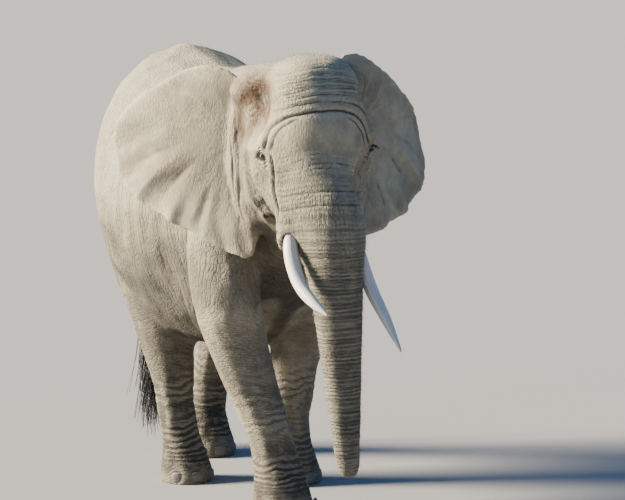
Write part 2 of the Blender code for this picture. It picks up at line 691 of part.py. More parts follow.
def build():
    for old in list(bpy.data.objects):
        bpy.data.objects.remove(old)
    collection = bpy.data.collections.new("african_elephant")
    bpy.context.scene.collection.children.link(collection)
    slots = {name: material(name) for name in COLOURS}

    flesh = fused_flesh()
    carve(flesh)
    flesh = thinned(flesh)
    tree = tree_of(flesh)

    # The ears and tail stand a cut clear of the flesh, so they are cut by a skin that is a little larger.
    clear = swollen(flesh, CUT)
    ears = []
    for name, side in (("right", -1), ("left", 1)):
        sheet = ear("ear_" + name, side, EAR_OUTLINES[name], EAR_SWEEP[name], EAR_CAMBER[name])
        ears.append(main_body(boolean(sheet, clear, "DIFFERENCE")))
    rump_tail = main_body(boolean(tail(), clear, "DIFFERENCE"))
    discard(clear)

    eyes = [triangulated(eye(side, tree)) for side in (-1, 1)]
    tusks = [triangulated(tusk(side)) for side in (-1, 1)]
    nails = [triangulated(nail(leg, number, angle, tree)) for leg in LEGS
             for number, angle in enumerate(NAIL_ANGLES[leg[:4]], start=1)]
    for piece in eyes + tusks + nails:
        cutter = swollen(piece, SOCKET_GAP)
        boolean(flesh, cutter, "DIFFERENCE")
        discard(cutter)

    for node in parted(flesh).values():
        finish(node, collection, slots["hide"])
    for node in ears + [rump_tail]:
        finish(node, collection, slots["hide"])
    for node in eyes:
        finish(node, collection, slots["eye"])
    for node in tusks:
        finish(node, collection, slots["ivory"])
    for node in nails:
        finish(node, collection, slots["nail"])
    finish(tail_tuft(), collection, slots["hair"])


build()
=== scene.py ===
"""Looks of a life-size African elephant: its skin with folds, eyes, tusks, nails and hair, and the stage."""

import json
import math

import bmesh
import bpy
import numpy as np
from bpy.props import FloatProperty, FloatVectorProperty, IntProperty, PointerProperty
from mathutils import Matrix, Vector
from mathutils.bvhtree import BVHTree


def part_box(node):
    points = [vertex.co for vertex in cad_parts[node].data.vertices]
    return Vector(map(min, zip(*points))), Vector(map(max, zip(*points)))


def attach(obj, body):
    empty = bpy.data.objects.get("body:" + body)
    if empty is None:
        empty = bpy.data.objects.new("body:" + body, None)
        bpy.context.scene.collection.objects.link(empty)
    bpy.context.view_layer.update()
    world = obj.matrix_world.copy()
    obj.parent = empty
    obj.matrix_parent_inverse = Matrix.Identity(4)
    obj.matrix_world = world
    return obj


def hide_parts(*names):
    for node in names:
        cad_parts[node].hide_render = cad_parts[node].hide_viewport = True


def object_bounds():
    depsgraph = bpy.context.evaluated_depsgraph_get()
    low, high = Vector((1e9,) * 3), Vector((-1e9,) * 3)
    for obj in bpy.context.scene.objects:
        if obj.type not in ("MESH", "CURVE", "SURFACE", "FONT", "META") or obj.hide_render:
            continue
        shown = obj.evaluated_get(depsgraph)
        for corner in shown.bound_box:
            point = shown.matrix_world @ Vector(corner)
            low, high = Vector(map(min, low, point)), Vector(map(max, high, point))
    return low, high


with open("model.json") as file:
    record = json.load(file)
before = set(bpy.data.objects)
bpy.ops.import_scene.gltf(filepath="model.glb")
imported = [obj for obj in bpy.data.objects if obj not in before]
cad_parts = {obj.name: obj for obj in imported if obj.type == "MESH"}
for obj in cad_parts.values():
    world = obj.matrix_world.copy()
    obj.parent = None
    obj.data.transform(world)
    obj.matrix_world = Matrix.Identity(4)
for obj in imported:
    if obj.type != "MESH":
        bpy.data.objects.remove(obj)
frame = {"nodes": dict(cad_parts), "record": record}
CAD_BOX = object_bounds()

bl_info = {
    "name": "African elephant",
    "version": (1, 0, 0),
    "blender": (4, 5, 0),
    "location": "3D View > Sidebar > Elephant",
    "description": "Builds the skin, eyes, tusks, nails, hair and stage of a still elephant",
    "category": "Object",
}

BODY = "root"
UP = np.array([0.0, 0.0, 1.0])
LEGS = ("foreleg_left", "foreleg_right", "hindleg_left", "hindleg_right")
AIM = (0.176, -0.903, -0.665)  # where the camera looks, in the head's own frame
SHARE = "share_"  # begins the names of the skin's shares of the CAD nodes
ARCH_POWER = 2.4  # 2 would bend the fold over the plate like an ellipse; more squares its shoulders
ARCH_REACH = 0.26  # metres from the bridge of the trunk to that fold
EAR_ROOT = (0.33, -0.43, 0.04)  # of the left ear, in the head's own frame
EAR_APART = 9.0  # noise size that gives the two ears their own noise but keeps it even through each
STRANDS = 9  # bunches that the tail's hairs hang in
HAIR_PATCH = 0.003  # width of a hair on the unwrap


# ---------------------------------------------------------------- settings

def length(name, description, default):
    return FloatProperty(name=name, description=description, default=default, min=0.0, unit="LENGTH")


def angle(name, description, degrees):
    return FloatProperty(name=name, description=description, default=math.radians(degrees), subtype="ANGLE")


def colour(name, description, default):
    return FloatVectorProperty(name=name, description=description, default=default, size=3, min=0.0, max=1.0,
                               subtype="COLOR")


def count(name, description, default):
    return IntProperty(name=name, description=description, default=default, min=1)


class SkinSettings(bpy.types.PropertyGroup):
    grain: length("Grain", "Size of the skin's first squares, which are halved once", 0.0165)
    triangles: count("Triangles", "Most triangles that the skin may have", 196000)
    brow_fold: length("Brow fold", "Depth of the fold over the root of the trunk", 0.013)
    forehead_fold: length("Forehead folds", "Depth of the folds across the forehead", 0.0055)
    ring: length("Trunk rings", "Depth of the larger rings of the trunk", 0.0060)
    ring_spacing: length("Ring spacing", "Space between the larger rings at the root of the trunk", 0.074)
    joint_fold: length("Joint folds", "Depth of the folds round the wrists and ankles", 0.0085)
    body_fold: length("Body folds", "Depth of the folds of the flank and rump", 0.0085)
    ear_ripple: length("Ear ripples", "Height of the ripples towards the rim of the ears", 0.0190)
    pale: colour("Pale hide", "Dusty hide", (0.410, 0.363, 0.255))
    deep: colour("Deep hide", "Hide between the dusty places", (0.086, 0.080, 0.062))
    # Also painted as shade in the folds, besides the dark lines of cracks, wrinkles and grit
    crease: colour("Crease", "Bottom of the folds", (0.020, 0.019, 0.017))
    # Towards the feet this earth is made stronger as painted shade on the lower legs
    stain: colour("Stain", "Earth rubbed into the temple, the ear's root and the legs", (0.105, 0.062, 0.036))
    # Painted shade: dark colour painted over the legs, the belly, the plate and the lower trunk
    grime: colour("Grime", "Dark earth over the legs, the belly and the lower trunk", (0.022, 0.023, 0.023))
    # Also painted as the shade of the lids round the eyes
    damp: colour("Damp", "Damp hide at the eyes, below the temple and at the mouth", (0.0050, 0.0040, 0.0034))


class EyeSettings(bpy.types.PropertyGroup):
    iris: colour("Iris", "Colour of the iris", (0.080, 0.036, 0.016))
    white: colour("White", "Colour of the ball beside the iris", (0.060, 0.042, 0.034))
    vein: colour("Veins", "Fine veins beside the iris", (0.10, 0.03, 0.02))
    pupil: colour("Pupil", "Colour of the pupil", (0.004, 0.003, 0.003))
    iris_size: length("Iris size", "Radius of the iris", 0.0125)
    pupil_size: length("Pupil size", "Radius of the pupil", 0.0052)
    opening_width: length("Opening width", "Half the width between the corners of the lids", 0.0290)
    upper_lid: length("Upper lid", "Height of the upper lid's edge over the eye's middle", 0.0132)
    lower_lid: length("Lower lid", "Drop of the lower lid's edge under the eye's middle", 0.0122)
    lid: length("Lid thickness", "Thickness of the lids", 0.0038)


class IvorySettings(bpy.types.PropertyGroup):
    clean: colour("Clean ivory", "Rubbed ivory", (0.70, 0.67, 0.60))
    streak: colour("Streaks", "Fine lines along the tusk", (0.40, 0.36, 0.30))
    root: colour("Root", "Stained ivory by the lip", (0.46, 0.37, 0.26))
    nail_pale: colour("Nail", "Worn horn of the nails", (0.150, 0.131, 0.104))
    nail_deep: colour("Nail's edge", "Horn near the sole", (0.16, 0.135, 0.105))


class HairSettings(bpy.types.PropertyGroup):
    dark: colour("Dark hair", "Tail hairs and lashes", (0.005, 0.0045, 0.004))
    bristle: colour("Bristles", "Short stiff hairs of the head, trunk and back", (0.075, 0.062, 0.052))
    tail_hairs: count("Tail hairs", "Number of long hairs at the end of the tail", 420)
    tail_hair: length("Tail hair", "Length of the longest tail hairs", 0.86)
    lashes: count("Lashes", "Number of lashes of each eye", 64)
    lash: length("Lash", "Length of a lash", 0.045)
    bristles: count("Bristles", "Number of short stiff hairs", 5200)
    bristle_length: length("Bristle length", "Length of a short stiff hair", 0.030)


class StageSettings(bpy.types.PropertyGroup):
    floor: colour("Floor", "Colour of the plain floor", (0.225, 0.222, 0.215))
    side: angle("Side", "How far the camera stands to the animal's right of straight ahead", 22.0)
    rise: angle("Rise", "How far the camera looks down", 8.0)
    lean: angle("Lean", "How far the camera is turned about its view", -3.0)
    distance: length("Distance", "From the camera to the animal", 36.0)
    lens: FloatProperty(name="Lens", description="Focal length in millimetres", default=373.0)
    key: FloatProperty(name="Key light", description="Strength of the broad main light", default=27.0)
    key_tint: colour("Key tint", "Colour of the main light", (1.0, 0.89, 0.71))
    key_side: angle("Key side", "How far the main light stands to the animal's right", 126.0)
    key_rise: angle("Key rise", "How high the main light stands", 24.0)
    softness: angle("Softness", "How wide the main light looks from the animal", 20.0)
    sky: FloatProperty(name="Sky", description="Strength of the even light from all round", default=0.66)
    sky_tint: colour("Sky tint", "Colour of the even light", (0.21, 0.47, 1.0))


# ---------------------------------------------------------------- numbers on many points

def step(low, high, value):
    """0 below low, 1 above high, and smooth between; low may be the larger."""
    part = np.clip((value - low) / (high - low), 0.0, 1.0)
    return part * part * (3.0 - 2.0 * part)


def bell(value, width):
    """1 at 0, fading out over the width on both sides."""
    return np.exp(-(value / width) ** 2)


def blob(points, centre, radii):
    """1 at the centre, fading out over the three radii."""
    return np.exp(-(((points - np.array(centre)) / np.array(radii)) ** 2).sum(1))


def lattice(x, y, z, seed):
    """A fixed random number from 0 to 1 for each whole-number cell; large odd numbers mix its place up."""
    mixed = x * np.uint32(374761393) + y * np.uint32(668265263) + z * np.uint32(1440662683)
    mixed += np.uint32(seed * 144269)
    mixed = (mixed ^ (mixed >> np.uint32(13))) * np.uint32(1274126177)
    mixed ^= mixed >> np.uint32(16)
    mixed *= np.uint32(668265263)
    return (mixed ^ (mixed >> np.uint32(15))).astype(np.float32) * np.float32(1.0 / 4294967296.0)


def noise(points, size, seed):
    """Smooth noise from -1 to 1 whose lumps are size apart; size may be three numbers."""
    first_cell = np.float32(64.0)
    scaled = (points / np.array(size)).astype(np.float32).T + first_cell
    cell = np.floor(scaled)
    part = scaled - cell
    part = part * part * (3.0 - 2.0 * part)
    low = cell.astype(np.int32).astype(np.uint32)
    ends = [(axis, axis + np.uint32(1)) for axis in low]
    planes = []
    for z in ends[2]:
        rows = []
        for y in ends[1]:
            first, last = (lattice(x, y, z, seed) for x in ends[0])
            rows.append(first + (last - first) * part[0])
        planes.append(rows[0] + (rows[1] - rows[0]) * part[1])
    return (planes[0] + (planes[1] - planes[0]) * part[2]).astype(float) * 2.0 - 1.0


def rough(points, size, seed, octaves=3):
    """Noise with finer and weaker noise added, from about -1 to 1."""
    size = np.array(size, dtype=float)
    total = sum(noise(points, size / 2 ** k, seed + k) / 2 ** k for k in range(octaves))
    return total / (2.0 - 0.5 ** (octaves - 1))


def unit_vector(vector):
    return vector / np.linalg.norm(vector)


def rolls(turns, roundness=0.55):
    """Rolls of skin with a sharp crease at each whole number: -1 in the crease, 0 on top of the roll."""
    return np.abs(np.sin(np.pi * turns)) ** roundness - 1.0


def crease(distance, width, depth, roll=0.55):
    """One crease at distance 0 with a roll on its positive side."""
    roll_at, roll_width = 2.2 * width, 1.7 * width
    return depth * (roll * bell(distance - roll_at, roll_width) - bell(distance, width))


# ---------------------------------------------------------------- meshes

def places_of(mesh):
    places = np.empty(len(mesh.vertices) * 3)
    mesh.vertices.foreach_get("co", places)
    return places.reshape(-1, 3)


def normals_of(mesh):
    normals = np.empty(len(mesh.vertices) * 3, np.float32)
    mesh.vertex_normals.foreach_get("vector", normals)
    return normals.reshape(-1, 3).astype(float)


def edges_of(mesh):
    edges = np.empty(len(mesh.edges) * 2, np.int32)
    mesh.edges.foreach_get("vertices", edges)
    return edges.reshape(-1, 2)


def move_to(mesh, places):
    mesh.vertices.foreach_set("co", places.astype(np.float32).ravel())
    mesh.update()


def merged(node, push=0.0):
    """A CAD node's loose triangles with their doubles merged, pushed out along the normals."""
    mesh = frame["nodes"][node].data
    corners = np.empty(len(mesh.loops), np.int32)
    mesh.loops.foreach_get("vertex_index", corners)
    places = places_of(mesh)
    # points less than a hundredth of a millimetre apart become one
    keys, index = np.unique(np.round(places * 1e5).astype(np.int64), axis=0, return_inverse=True)
    places = keys * 1e-5
    triangles = index.ravel()[corners].reshape(-1, 3)
    ring = triangles[:, [0, 1, 2, 0]]
    triangles = triangles[(ring[:, 1:] != ring[:, :3]).all(1)]
    if push:
        sides = places[triangles]
        faces = np.cross(sides[:, 1] - sides[:, 0], sides[:, 2] - sides[:, 0])
        normals = np.zeros_like(places)
        for corner in range(3):
            np.add.at(normals, triangles[:, corner], faces)
        places = places + push * normals / np.maximum(np.linalg.norm(normals, axis=1), 1e-12)[:, None]
    return places, triangles


def mesh_of(name, places, faces):
    mesh = bpy.data.meshes.new(name)
    mesh.from_pydata(places.tolist(), [], faces.tolist())
    mesh.update()
    return mesh


def object_of(name, mesh):
    piece = bpy.data.objects.new(name, mesh)
    bpy.context.scene.collection.objects.link(piece)
    return piece


def with_modifier(piece, kind, **values):
    """Applies one modifier to the piece's mesh."""
    modifier = piece.modifiers.new(kind.lower(), kind)
    for name, value in values.items():
        setattr(modifier, name, value)
    applied(piece)


def applied(piece):
    """Turns the piece with its modifiers into a plain mesh."""
    seen = piece.evaluated_get(bpy.context.evaluated_depsgraph_get())
    mesh = bpy.data.meshes.new_from_object(seen)
    old = piece.data
    piece.modifiers.clear()
    piece.data = mesh
    bpy.data.meshes.remove(old)
    mesh.name = piece.name


def joined(solids):
    """One set of places and triangles out of several."""
    starts = np.cumsum([0] + [len(places) for places, _ in solids[:-1]])
    faces = [own_faces + start for (_, own_faces), start in zip(solids, starts)]
    return np.concatenate([places for places, _ in solids]), np.concatenate(faces)


def smooth_shaded(mesh):
    mesh.polygons.foreach_set("use_smooth", np.ones(len(mesh.polygons), bool))
    mesh.update()


def store(mesh, name, values):
    """Keeps one number a point on the mesh, for the materials."""
    attribute = mesh.attributes.get(name) or mesh.attributes.new(name, "FLOAT", "POINT")
    attribute.data.foreach_set("value", values.astype(np.float32))


def store_share(mesh, name, values):
    """Keeps a number from 0 to 1 for each point."""
    store(mesh, name, np.clip(values, 0.0, 1.0))


def store_vectors(mesh, name, values):
    """Keeps three numbers a point on the mesh, for the materials and the hairs."""
    attribute = mesh.attributes.new(name, "FLOAT_VECTOR", "POINT")
    attribute.data.foreach_set("vector", np.asarray(values, np.float32).ravel())


def stored(mesh, name):
    values = np.empty(len(mesh.vertices), np.float32)
    mesh.attributes[name].data.foreach_get("value", values)
    return values.astype(float)


class Neighbours:
    """Means over the points that share an edge with each point."""

    def __init__(self, mesh):
        self.first, self.second = edges_of(mesh).T
        self.size = len(mesh.vertices)
        self.degree = np.maximum(self.sum(np.ones(self.size)), 1.0)

    def sum(self, values):
        return (np.bincount(self.first, values[self.second], self.size)
                + np.bincount(self.second, values[self.first], self.size))

    def mean(self, values):
        if values.ndim == 1:
            return self.sum(values) / self.degree
        return np.stack([self.sum(column) / self.degree for column in values.T], 1)

    def spread(self, values, rounds):
        """Blends the values into their surroundings."""
        for _ in range(rounds):
            values = 0.5 * values + 0.5 * self.mean(values)
        return values

    def faired(self, places, rounds, strength):
        """Smooths bumps away and keeps the volume; strength is one number a point."""
        shrink, swell = 0.62, 0.65
        for _ in range(rounds):
            places = places + shrink * strength[:, None] * (self.mean(places) - places)
            places = places - swell * strength[:, None] * (self.mean(places) - places)
        return places


# ---------------------------------------------------------------- places on the animal

SLOT_OF = {row["node"]: row["material_slot"] for row in frame["record"]["subparts"]}
FLESH = [node for node, slot in SLOT_OF.items() if slot == "hide"]
NAILS = [node for node, slot in SLOT_OF.items() if slot == "nail"]
SIDES = {"left": 1.0, "right": -1.0}


def centre_of(node):
    low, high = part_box(node)
    return np.array((low + high) / 2.0)


class Head:
    """The head's own frame: x to the animal's left, y forward, z up, from midway between the eyes."""

    def __init__(self):
        left, right = centre_of("eye_left"), centre_of("eye_right")
        across = (left - right) * (1.0, 1.0, 0.0)
        self.half = np.linalg.norm(across) / 2.0
        self.middle = (left + right) / 2.0
        across = unit_vector(across)
        self.axes = np.stack([across, np.cross(across, UP), UP])

    def local(self, points):
        return (points - self.middle) @ self.axes.T

    def world(self, local):
        return self.middle + np.asarray(local, float) @ self.axes


HEAD = Head()
TRUNK_TIP = centre_of("trunk_4")
TRUNK_TIP[2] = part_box("trunk_4")[0].z
TAIL_END = centre_of("tail")
TAIL_END[:2] = centre_of("tail_tuft")[:2]
TAIL_END[2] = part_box("tail")[0].z
WITHERS_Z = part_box("torso")[1].z


def node_tree(nodes):
    """One search tree over several CAD nodes, and the number of the node that each triangle belongs to."""
    solids = [merged(node) for node in nodes]
    places, faces = joined(solids)
    owners = np.repeat(np.arange(len(nodes)), [len(own_faces) for _, own_faces in solids])
    return BVHTree.FromPolygons(places.tolist(), faces.tolist()), owners


# ---------------------------------------------------------------- the skin's form

def egg(centre, radii):
    """Places and triangles of an egg that lies along the head's own directions."""
    bm = bmesh.new()
    bmesh.ops.create_icosphere(bm, subdivisions=4, radius=1.0)
    places = np.array([vertex.co for vertex in bm.verts]) * radii
    faces = np.array([[vertex.index for vertex in face.verts] for face in bm.faces])
    bm.free()
    return HEAD.world(places + np.array(centre)), faces


def fused_flesh(grain):
    """All flesh and the eyes in one closed surface of small squares, with the temples filled out."""
    ear_push, push = 0.006, 0.001
    solids = [merged(node, push=ear_push if node.startswith("ear") else push)
              for node in FLESH + ["eye_left", "eye_right"]]
    for sign in SIDES.values():
        solids.append(egg((sign * 0.262, -0.335, 0.15), (0.055, 0.125, 0.25)))
        solids.append(egg((sign * 0.285, -0.335, -0.12), (0.058, 0.110, 0.22)))
    skin = object_of("skin", mesh_of("skin", *joined(solids)))
    with_modifier(skin, "REMESH", mode="VOXEL", voxel_size=grain, adaptivity=0.0)
    return skin


def region_shares(mesh, rounds):
    """How much of each point belongs to each flesh node, blended across their borders."""
    tree, owners = node_tree(FLESH)
    nearest = np.array([owners[tree.find_nearest(Vector(place))[2]] for place in places_of(mesh)])
    around = Neighbours(mesh)
    return {node: around.spread((nearest == number).astype(float), rounds)
            for number, node in enumerate(FLESH)}


def gathered(shares, *beginnings):
    """The shares of all nodes whose names begin so, together."""
    total = sum(values for node, values in shares.items() if node.startswith(beginnings))
    return np.clip(total, 0.0, 1.0)


def faired_skin(skin):
    """Takes the flat faces of the solids out of the skin and keeps the thin ears, tail and tips."""
    border_rounds, fairing_rounds = 5, 60
    shares = region_shares(skin.data, border_rounds)
    for node, values in shares.items():
        store(skin.data, SHARE + node, values)
    thin = gathered(shares, "tail", "trunk_4", "lower_jaw")
    ears = gathered(shares, "ear")
    feet = np.clip(sum(shares[leg + "_foot"] for leg in LEGS), 0.0, 1.0)
    around = Neighbours(skin.data)
    strength = 1.0
    for part, kept in ((thin, 0.72), (ears, 0.50), (feet, 0.55)):
        strength = strength - kept * around.spread(part, 3)
    move_to(skin.data, around.faired(places_of(skin.data), fairing_rounds, np.clip(strength, 0.1, 1.0)))
    with_modifier(skin, "SUBSURF", levels=1, render_levels=1)


class Surface:
    """The skin's points with what the folds are measured from."""

    def __init__(self, mesh):
        self.mesh = mesh
        self.around = Neighbours(mesh)
        self.measure()
        self.shares = {node: np.clip(stored(mesh, SHARE + node), 0.0, 1.0) for node in FLESH}
        self.head_share = gathered(self.shares, "head", "trunk", "lower_jaw")
        self.trunk = gathered(self.shares, "trunk")
        self.ears = {side: self.shares["ear_" + side] for side in SIDES}
        self.ear = self.ears["left"] + self.ears["right"]
        self.legs = gathered(self.shares, "foreleg", "hindleg")
        self.barrel = gathered(self.shares, "torso", "neck")
        self.tail = self.shares["tail"]

    def measure(self):
        """Reads the places anew; side_head holds them in the head's frame as if all lay on its left."""
        self.places = places_of(self.mesh)
        self.normals = normals_of(self.mesh)
        self.head = HEAD.local(self.places)
        self.side_head = np.column_stack([np.abs(self.head[:, 0]), self.head[:, 1:]])

    def raise_by(self, height):
        self.shift_by(self.normals * height[:, None])

    def shift_by(self, shift):
        move_to(self.mesh, self.places + shift)
        self.measure()


# Forms that stand out or in: a height, a centre and three radii, on the left side and mirrored to the right.
# Those of the head are in its own frame, and those of the legs are measured from the upper leg's middle.
HEAD_FORMS = (
    (0.020, (0.285, 0.03, 0.085), (0.05, 0.07, 0.045)),  # brow over the eye
    (-0.020, (0.25, -0.20, 0.30), (0.09, 0.14, 0.10)),  # hollow of the temple
    (0.016, (0.315, -0.20, 0.03), (0.05, 0.13, 0.045)),  # cheekbone
    (-0.018, (0.30, -0.05, -0.13), (0.06, 0.10, 0.10)),  # hollow below the eye
    (0.010, (0.19, 0.10, 0.41), (0.07, 0.14, 0.10)),  # dome of the crown
)
BLADE_FORMS = (
    (0.026, (0.16, 0.02, 0.55), (0.22, 0.10, 0.36)),  # shoulder blade
    (-0.020, (0.16, 0.24, 0.45), (0.22, 0.09, 0.36)),  # hollow behind it
)
ELBOW_FORMS = ((0.022, (0.0, 0.17, 0.16), (0.20, 0.09, 0.10)),)
HIP_FORMS = (
    (0.026, (0.22, 0.06, 0.98), (0.16, 0.15, 0.16)),  # hip bone
    (0.018, (0.10, -0.16, 0.06), (0.16, 0.12, 0.14)),  # knee
    (-0.018, (0.20, -0.25, 0.55), (0.20, 0.12, 0.30)),  # hollow before the thigh
)


def heights_of(forms, points):
    return sum(height * blob(points, centre, radii) for height, centre, radii in forms)


def bulk(surface):
    """The larger forms that the solids leave out: plate, brow, shoulder blade, elbows, hips, spine, ribs."""
    plate = 0.016 * blob(surface.head, (-0.02, 0.24, 0.13), (0.17, 0.16, 0.10))
    crown_groove = -0.008 * blob(surface.head, (0.0, 0.16, 0.44), (0.05, 0.14, 0.12))
    height = plate + heights_of(HEAD_FORMS, surface.side_head) + crown_groove
    height *= np.clip(surface.head_share + surface.shares["neck"], 0.0, 1.0)

    for leg in LEGS:
        outwards = SIDES[leg.split("_")[1]]
        from_middle = (surface.places - centre_of(leg + "_upper")) * (outwards, 1.0, 1.0)
        if leg.startswith("foreleg"):
            height += heights_of(BLADE_FORMS, from_middle) * surface.barrel
            height += heights_of(ELBOW_FORMS, from_middle)
        else:
            height += heights_of(HIP_FORMS, from_middle)

    x, y, z = surface.places.T
    spine = bell(x - centre_of("torso")[0], 0.045) * step(WITHERS_Z - 0.45, WITHERS_Z - 0.15, z)
    flank = blob(surface.places, (0.0, 0.25, 1.55), (3.0, 0.45, 0.35))
    ribs = np.sin(2 * np.pi * (y * 7.5 + 0.9 * z)) * flank
    return height + (0.014 * spine + 0.0035 * ribs) * surface.shares["torso"]


def narrowed_root(surface):
    """Draws the root of the trunk in below the left eye, on the side that the head is turned from."""
    x, y, z = surface.head.T
    inward = 0.055 * step(0.02, 0.20, x) * bell(z + 0.20, 0.16) * step(-0.02, 0.07, y)
    return -inward[:, None] * HEAD.axes[0]


def forehead(x, z, low, high):
    """1 on the forehead, which begins between the heights low and high, over the fold over the plate."""
    return step(low, high, z) * step(0.52, 0.46, z) * step(0.27, 0.17, np.abs(x + 0.01))


def before_ear(y, z):
    """How far before the ear's root a point of the head lies."""
    return y + 0.345 + 0.22 * (z + 0.1) ** 2


def front_of_trunk(surface):
    """The trunk with the face above it."""
    root = surface.shares["head"] * step(0.02, 0.16, surface.head[:, 1])
    return np.clip(surface.trunk + root, 0.0, 1.0)


def brow_arch(head):
    """0 at the bridge of the trunk and 1 along the fold that arches over it, from eye to eye."""
    middle, half_width, rise = -0.025, 0.282, 0.252
    across = np.abs(head[:, 0] - middle) / half_width
    over = np.maximum(head[:, 2], 0.0) / rise
    return (across ** ARCH_POWER + over ** ARCH_POWER) ** (1.0 / ARCH_POWER)


def head_folds(surface, size):
    """The fold over the plate, the folds across the forehead, and the creases of the cheek."""
    spot, side_head = surface.places, surface.side_head
    x, y, z = surface.head.T
    side_x = side_head[:, 0]
    wander = 0.010 * rough(spot, 0.11, 3)
    front = step(-0.02, 0.08, y) * surface.head_share
    arch = brow_arch(surface.head)
    over_eyes = step(0.01, 0.07, z)
    main = crease((arch - 1.0) * ARCH_REACH + wander, 0.0075, 0.85 * size.brow_fold, 0.35) * over_eyes
    outer = crease((arch - 1.18) * ARCH_REACH + 1.4 * wander, 0.0065, 0.40 * size.brow_fold)
    outer = outer * step(0.14, 0.24, z) * (0.3 + 0.7 * step(-0.5, 0.5, noise(spot, 0.12, 5)))
    inner = crease((arch - 0.90) * ARCH_REACH - 1.2 * wander, 0.006, 0.30 * size.brow_fold)
    inner = inner * over_eyes * step(0.10, 0.16, np.abs(x + 0.02))
    rows = (z + 0.9 * x * x + 0.016 * rough(spot, (0.16, 0.16, 0.05), 11)) / 0.034
    uneven = 0.72 + 0.28 * noise(spot, (0.14, 0.14, 0.04), 17)
    brow = size.forehead_fold * rolls(rows, 0.6) * forehead(x, z, 0.30, 0.335) * uneven
    height = (main + outer + inner + brow) * front

    cheek_edge = y - 0.085 + 0.10 * z + 0.012 * rough(spot, 0.08, 23)
    cheek_line = bell(side_x - 0.28, 0.07) * step(0.03, -0.02, z) * step(-0.40, -0.24, z)
    height += crease(-cheek_edge, 0.010, 0.011, 0.4) * cheek_line
    before = before_ear(y, z) + 0.012 * rough(spot, 0.10, 29)
    ear_line = step(0.21, 0.27, side_x) * step(-0.46, -0.36, z) * step(0.36, 0.20, z) * (1.0 - surface.ear)
    height += crease(before + 0.070, 0.008, 0.010, 0.3) * ear_line * step(0.10, -0.05, z)
    height += crease(before + 0.035, 0.007, 0.004, 0.3) * ear_line

    cheek = blob(side_head, (0.29, -0.10, -0.19), (0.10, 0.17, 0.16))
    net = rolls(rough(spot, (0.12, 0.06, 0.10), 31) * 3.2 + z * 4.0 + y * 6.0, 0.6)
    temple = blob(side_head, (0.25, -0.20, 0.27), (0.09, 0.15, 0.14))
    height += 0.0075 * net * cheek
    height += 0.0035 * rolls(rough(spot, 0.10, 37) * 3.0 + y * 14.0, 0.7) * temple
    return height


def down_trunk(surface):
    """How far below the plate a point of the trunk lies, along rings that bow upwards in the middle."""
    x, _, z = surface.head.T
    bow = 1.15 * np.minimum(np.abs(x + 0.045), 0.20) ** 2 * step(-0.9, 0.0, z)
    return 0.050 - z - bow


def ring_turns(surface, size):
    """A count down the trunk that is whole at the crease between two of its larger rings."""
    drop = np.maximum(down_trunk(surface), 0.0)
    turns = drop / size.ring_spacing + 0.22 * (drop / 0.5) ** 2
    return turns + 0.16 * rough(surface.places, (0.20, 0.20, 0.10), 41)


def turn_about_trunk(spot):
    """The angle of each point about an upright axis behind the trunk's tip."""
    offset = spot - TRUNK_TIP
    return np.arctan2(offset[:, 0], 0.05 - offset[:, 1])


def trunk_rings(surface, size):
    """Rings round the trunk that grow closer towards its tip, broken up by lines along it."""
    _, y, z = surface.head.T
    spot = surface.places
    down = down_trunk(surface)
    drop = np.maximum(down, 0.0)
    turns = ring_turns(surface, size)
    fine = turns * 2.7 + 0.30 * rough(spot, (0.09, 0.09, 0.05), 43)
    throat = step(-0.28, -0.42, z) * step(0.05, -0.10, y) * (1.0 - surface.trunk)
    reach = step(-0.02, 0.03, down) * front_of_trunk(surface) * (1.0 - 0.75 * throat)
    reach = reach * step(TRUNK_TIP[2] + 0.02, TRUNK_TIP[2] + 0.07, spot[:, 2])
    uneven = 0.60 + 0.40 * noise(spot, (0.15, 0.15, 0.06), 47)
    fine_uneven = 0.6 + 0.4 * noise(spot, (0.07, 0.07, 0.03), 53)
    height = size.ring * rolls(turns, 0.50) * uneven * (1.0 - 0.55 * step(0.5, 1.3, drop))
    height += 0.55 * size.ring * rolls(fine, 0.60) * fine_uneven
    flutes = rolls(turn_about_trunk(spot) * 7.0 + 0.4 * rough(spot, (0.10, 0.10, 0.30), 59), 0.65)
    flutes = flutes * step(0.10, 0.25, drop) * step(0.80, 0.45, drop)
    height += 0.0024 * flutes * (0.5 + 0.5 * noise(spot, (0.10, 0.10, 0.16), 61))
    return height * reach


def leg_folds(surface, size):
    """Folds round the wrists, ankles, elbows and toes."""
    spot = surface.places
    z = spot[:, 2]
    height = np.zeros(len(spot))
    wave = 0.034 * rough(spot, (0.20, 0.20, 0.13), 67) + 0.014 * rough(spot, 0.07, 71)
    uneven = step(-0.75, 0.45, noise(spot, (0.13, 0.13, 0.08), 73))
    for leg in LEGS:
        share_here = sum(surface.shares[leg + end] for end in ("_upper", "_lower", "_foot"))
        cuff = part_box(leg + "_foot")[1].z
        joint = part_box(leg + "_lower")[1].z
        at_joint = rolls((z + 1.8 * wave) / 0.056, 0.55) * bell(z - joint + 0.10, 0.17)
        at_cuff = rolls((z + 1.3 * wave) / 0.036, 0.6) * bell(z - cuff - 0.03, 0.10)
        over_nails = step(0.10, 0.13, z) * step(cuff + 0.02, cuff - 0.06, z)
        at_toes = rolls((z + 0.5 * wave) / 0.026, 0.7) * over_nails
        below_joint = step(joint + 0.10, joint + 0.02, z) * step(cuff, cuff + 0.1, z)
        shin = rolls((z + 1.8 * wave) / 0.085, 0.6) * below_joint
        elbow = rolls((z + 2.4 * wave + 0.3 * spot[:, 1]) / 0.105, 0.6) * step(joint, joint + 0.15, z)
        folds = 0.80 * at_joint + 0.75 * at_cuff + 0.40 * at_toes + 0.18 * shin + 0.30 * elbow
        height += size.joint_fold * folds * share_here * (0.22 + 0.78 * uneven)
    return height


